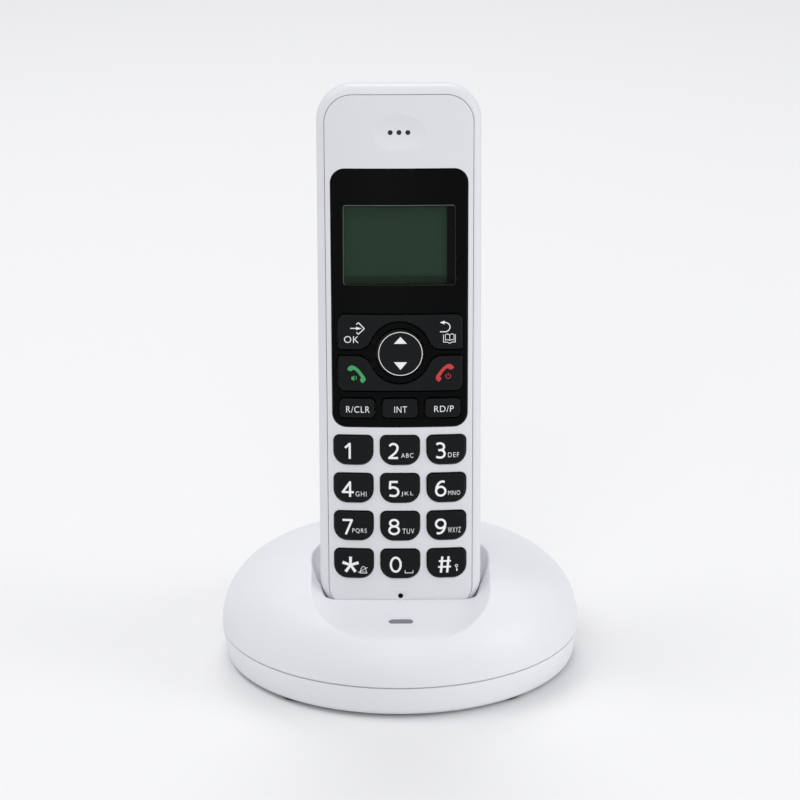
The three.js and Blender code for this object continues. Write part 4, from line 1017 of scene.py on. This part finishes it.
REAR = BASE @ Matrix.Rotation(-pi / 2, 4, "X")  # x and height (downward) of the rear wall
line_mouth = Outline([
    (-18.9, 0.3 - MOUTH - 3.75, 0.3, pi, 1.5 * pi), (-9.1, 0.3 - MOUTH - 3.75, 0.3, 1.5 * pi, 2 * pi),
    (-9.1, 3.45 - MOUTH, 0.3, 0, pi / 2), (-11.2, 3.95 - MOUTH, 0.2, 1.5 * pi, pi),
    (-11.7, 5.25 - MOUTH, 0.3, 0, pi / 2), (-16.3, 5.25 - MOUTH, 0.3, pi / 2, pi),
    (-16.8, 3.95 - MOUTH, 0.2, 0, -pi / 2), (-18.9, 3.45 - MOUTH, 0.3, pi / 2, pi)], 5)
plate(rectangle(47.4, 11.4, 0.5, 0, -15.65, 6), lambda x, y: BACK,
      [(line_mouth, 0.2, 1.9), (circle(3.3, 14, -MOUTH), 0.25, 1.9), (circle(3.3, 0, -MOUTH), 0.2, 1.9)],
      edge=0.25, depth=1.9, spacing=(4, 4)).build("socket_wall", "base", [white], REAR, ["socket_plate"])

# ---------- base: lower shell, feet, small parts
LOW, BEND = 1.0, 1.7
skirt = RADIUS - 1.2
profile = [(0, LOW), (skirt - BEND, LOW)]
for k in range(1, 11):
    turn = pi / 2 * k / 10
    profile.append((skirt - BEND + BEND * sin(turn), LOW + BEND - BEND * cos(turn)))
profile += [(RADIUS - 0.02, PARTING - 0.4), (RADIUS - 0.1, PARTING - 0.22), (RADIUS - 0.28, PARTING - 0.15),
            (0, PARTING - 0.15)]
tray = lathe(profile, 240).build("tray", "base", [white], BASE, ["base_lower_shell"])
cutters = []
for place in ("front_left", "front_right", "rear_left", "rear_right"):
    low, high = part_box("foot_" + place)
    x, y = (low.x + high.x) * 500, (low.y + high.y) * 500
    cutters.append(block(circle(5.8, x, y), -2, LOW + 1.1, BASE))
    pad = lathe([(0, 0), (4.9, 0), (5.25, 0.1), (5.45, 0.35), (5.5, 0.7), (5.5, 2.1), (0, 2.1)], 64)
    spot = Matrix.Translation((x / 1000, y / 1000, 0)) @ BASE
    pad.build("foot_pad_" + place, "base", [rubber], spot, ["foot_" + place], sharp=40)
    low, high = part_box("base_screw_" + place)
    x, y = (low.x + high.x) * 500, (low.y + high.y) * 500
    cutters.append(block(circle(3, x, y, 40), -2, LOW + 2.4, BASE))
carve(tray, cutters)

cap_profile = [(0, 1.6), (2.2, 1.55), (2.75, 1.4), (2.97, 1.1), (3, 0.7), (3, -2.5), (4, -2.5), (4, -3.5), (0, -3.5)]
page_place = Matrix.Translation((0, BACK / 1000, MOUTH / 1000)) @ Matrix.Rotation(-pi / 2, 4, "X") @ BASE
lathe(cap_profile[::-1], 64).build("page_cap", "page_key", [smoke], page_place, ["page_key"], sharp=40)

guide = plate(GUIDE, lambda x, y: surface(x, y) - 0.08, edge=0.15, depth=6, spacing=(1, 1))
guide.build("charge_light", "base", [smoke], BASE, ["charge_light_guide"])

for k in range(4):  # sprung wires of the line socket
    piece = Piece()
    x = -14 + (k - 1.5) * 1.27
    rows = []
    for y, z in ((41.5, 18.3), (38.5, 18.0), (34.5, 15.1), (33.4, 15.3)):
        rows.append(piece.ring([(x + 0.2 * cos(a), y, z + 0.2 * sin(a)) for a in (pi / 4 * i for i in range(8))]))
    for a, b in zip(rows, rows[1:]):
        piece.band(a, b, flip=True)
    piece.face(rows[-1])
    piece.face(rows[0][::-1])
    piece.build(f"socket_wire_{k + 1}", "base", [gold], BASE)

# ---------- studio
bpy.ops.mesh.primitive_plane_add(size=12, location=(0, 0, 0))
floor = bpy.context.object
floor.name = "floor"
paper = moulded("paper", (227, 227, 228), 0.7, grain=900, depth=0.00001, mottle=0.004)
floor.data.materials.append(paper)

world = bpy.data.worlds.new("studio")
scene.world = world
world.use_nodes = True
sky = world.node_tree.nodes["Background"]
sky.inputs["Color"].default_value = (0.97, 0.975, 1.0, 1)
sky.inputs["Strength"].default_value = 0.6


def lamp(name, place, aim, size, power):
    data = bpy.data.lights.new(name, "AREA")
    data.shape, data.size, data.energy = "DISK", size, power
    holder = placed(name, data)
    holder.location = place
    holder.rotation_euler = (Vector(aim) - Vector(place)).to_track_quat("-Z", "Y").to_euler()


lamp("front", (-0.2, -1.7, 1.0), (0, 0, 0.08), 1.2, 8.3)
lamp("upper_left", (-0.8, 0, 1.5), (0, 0, 0.03), 0.9, 8.4)
lamp("right", (1.4, -0.35, 0.55), (0, 0, 0.05), 1.0, 8.2)
lamp("back", (0, 1.2, 1.4), (0, 0, 0.05), 1.0, 8.0)

camera = placed("camera", bpy.data.cameras.new("camera"))
camera.data.lens, camera.data.sensor_width, camera.data.clip_start = 134.87, 36, 0.05
LOOK_DOWN, PAN, ROLL = 17.752, -0.3, -0.15  # the camera's turns, in degrees
aim = Matrix.Rotation(radians(PAN), 4, "Z") @ Matrix.Rotation(radians(90 - LOOK_DOWN), 4, "X")
aim = aim @ Matrix.Rotation(radians(ROLL), 4, "Z")
camera.matrix_world = Matrix.Translation((-0.00425, -0.83444, 0.3457)) @ aim
scene.camera = camera
scene.view_settings.view_transform = "Standard"
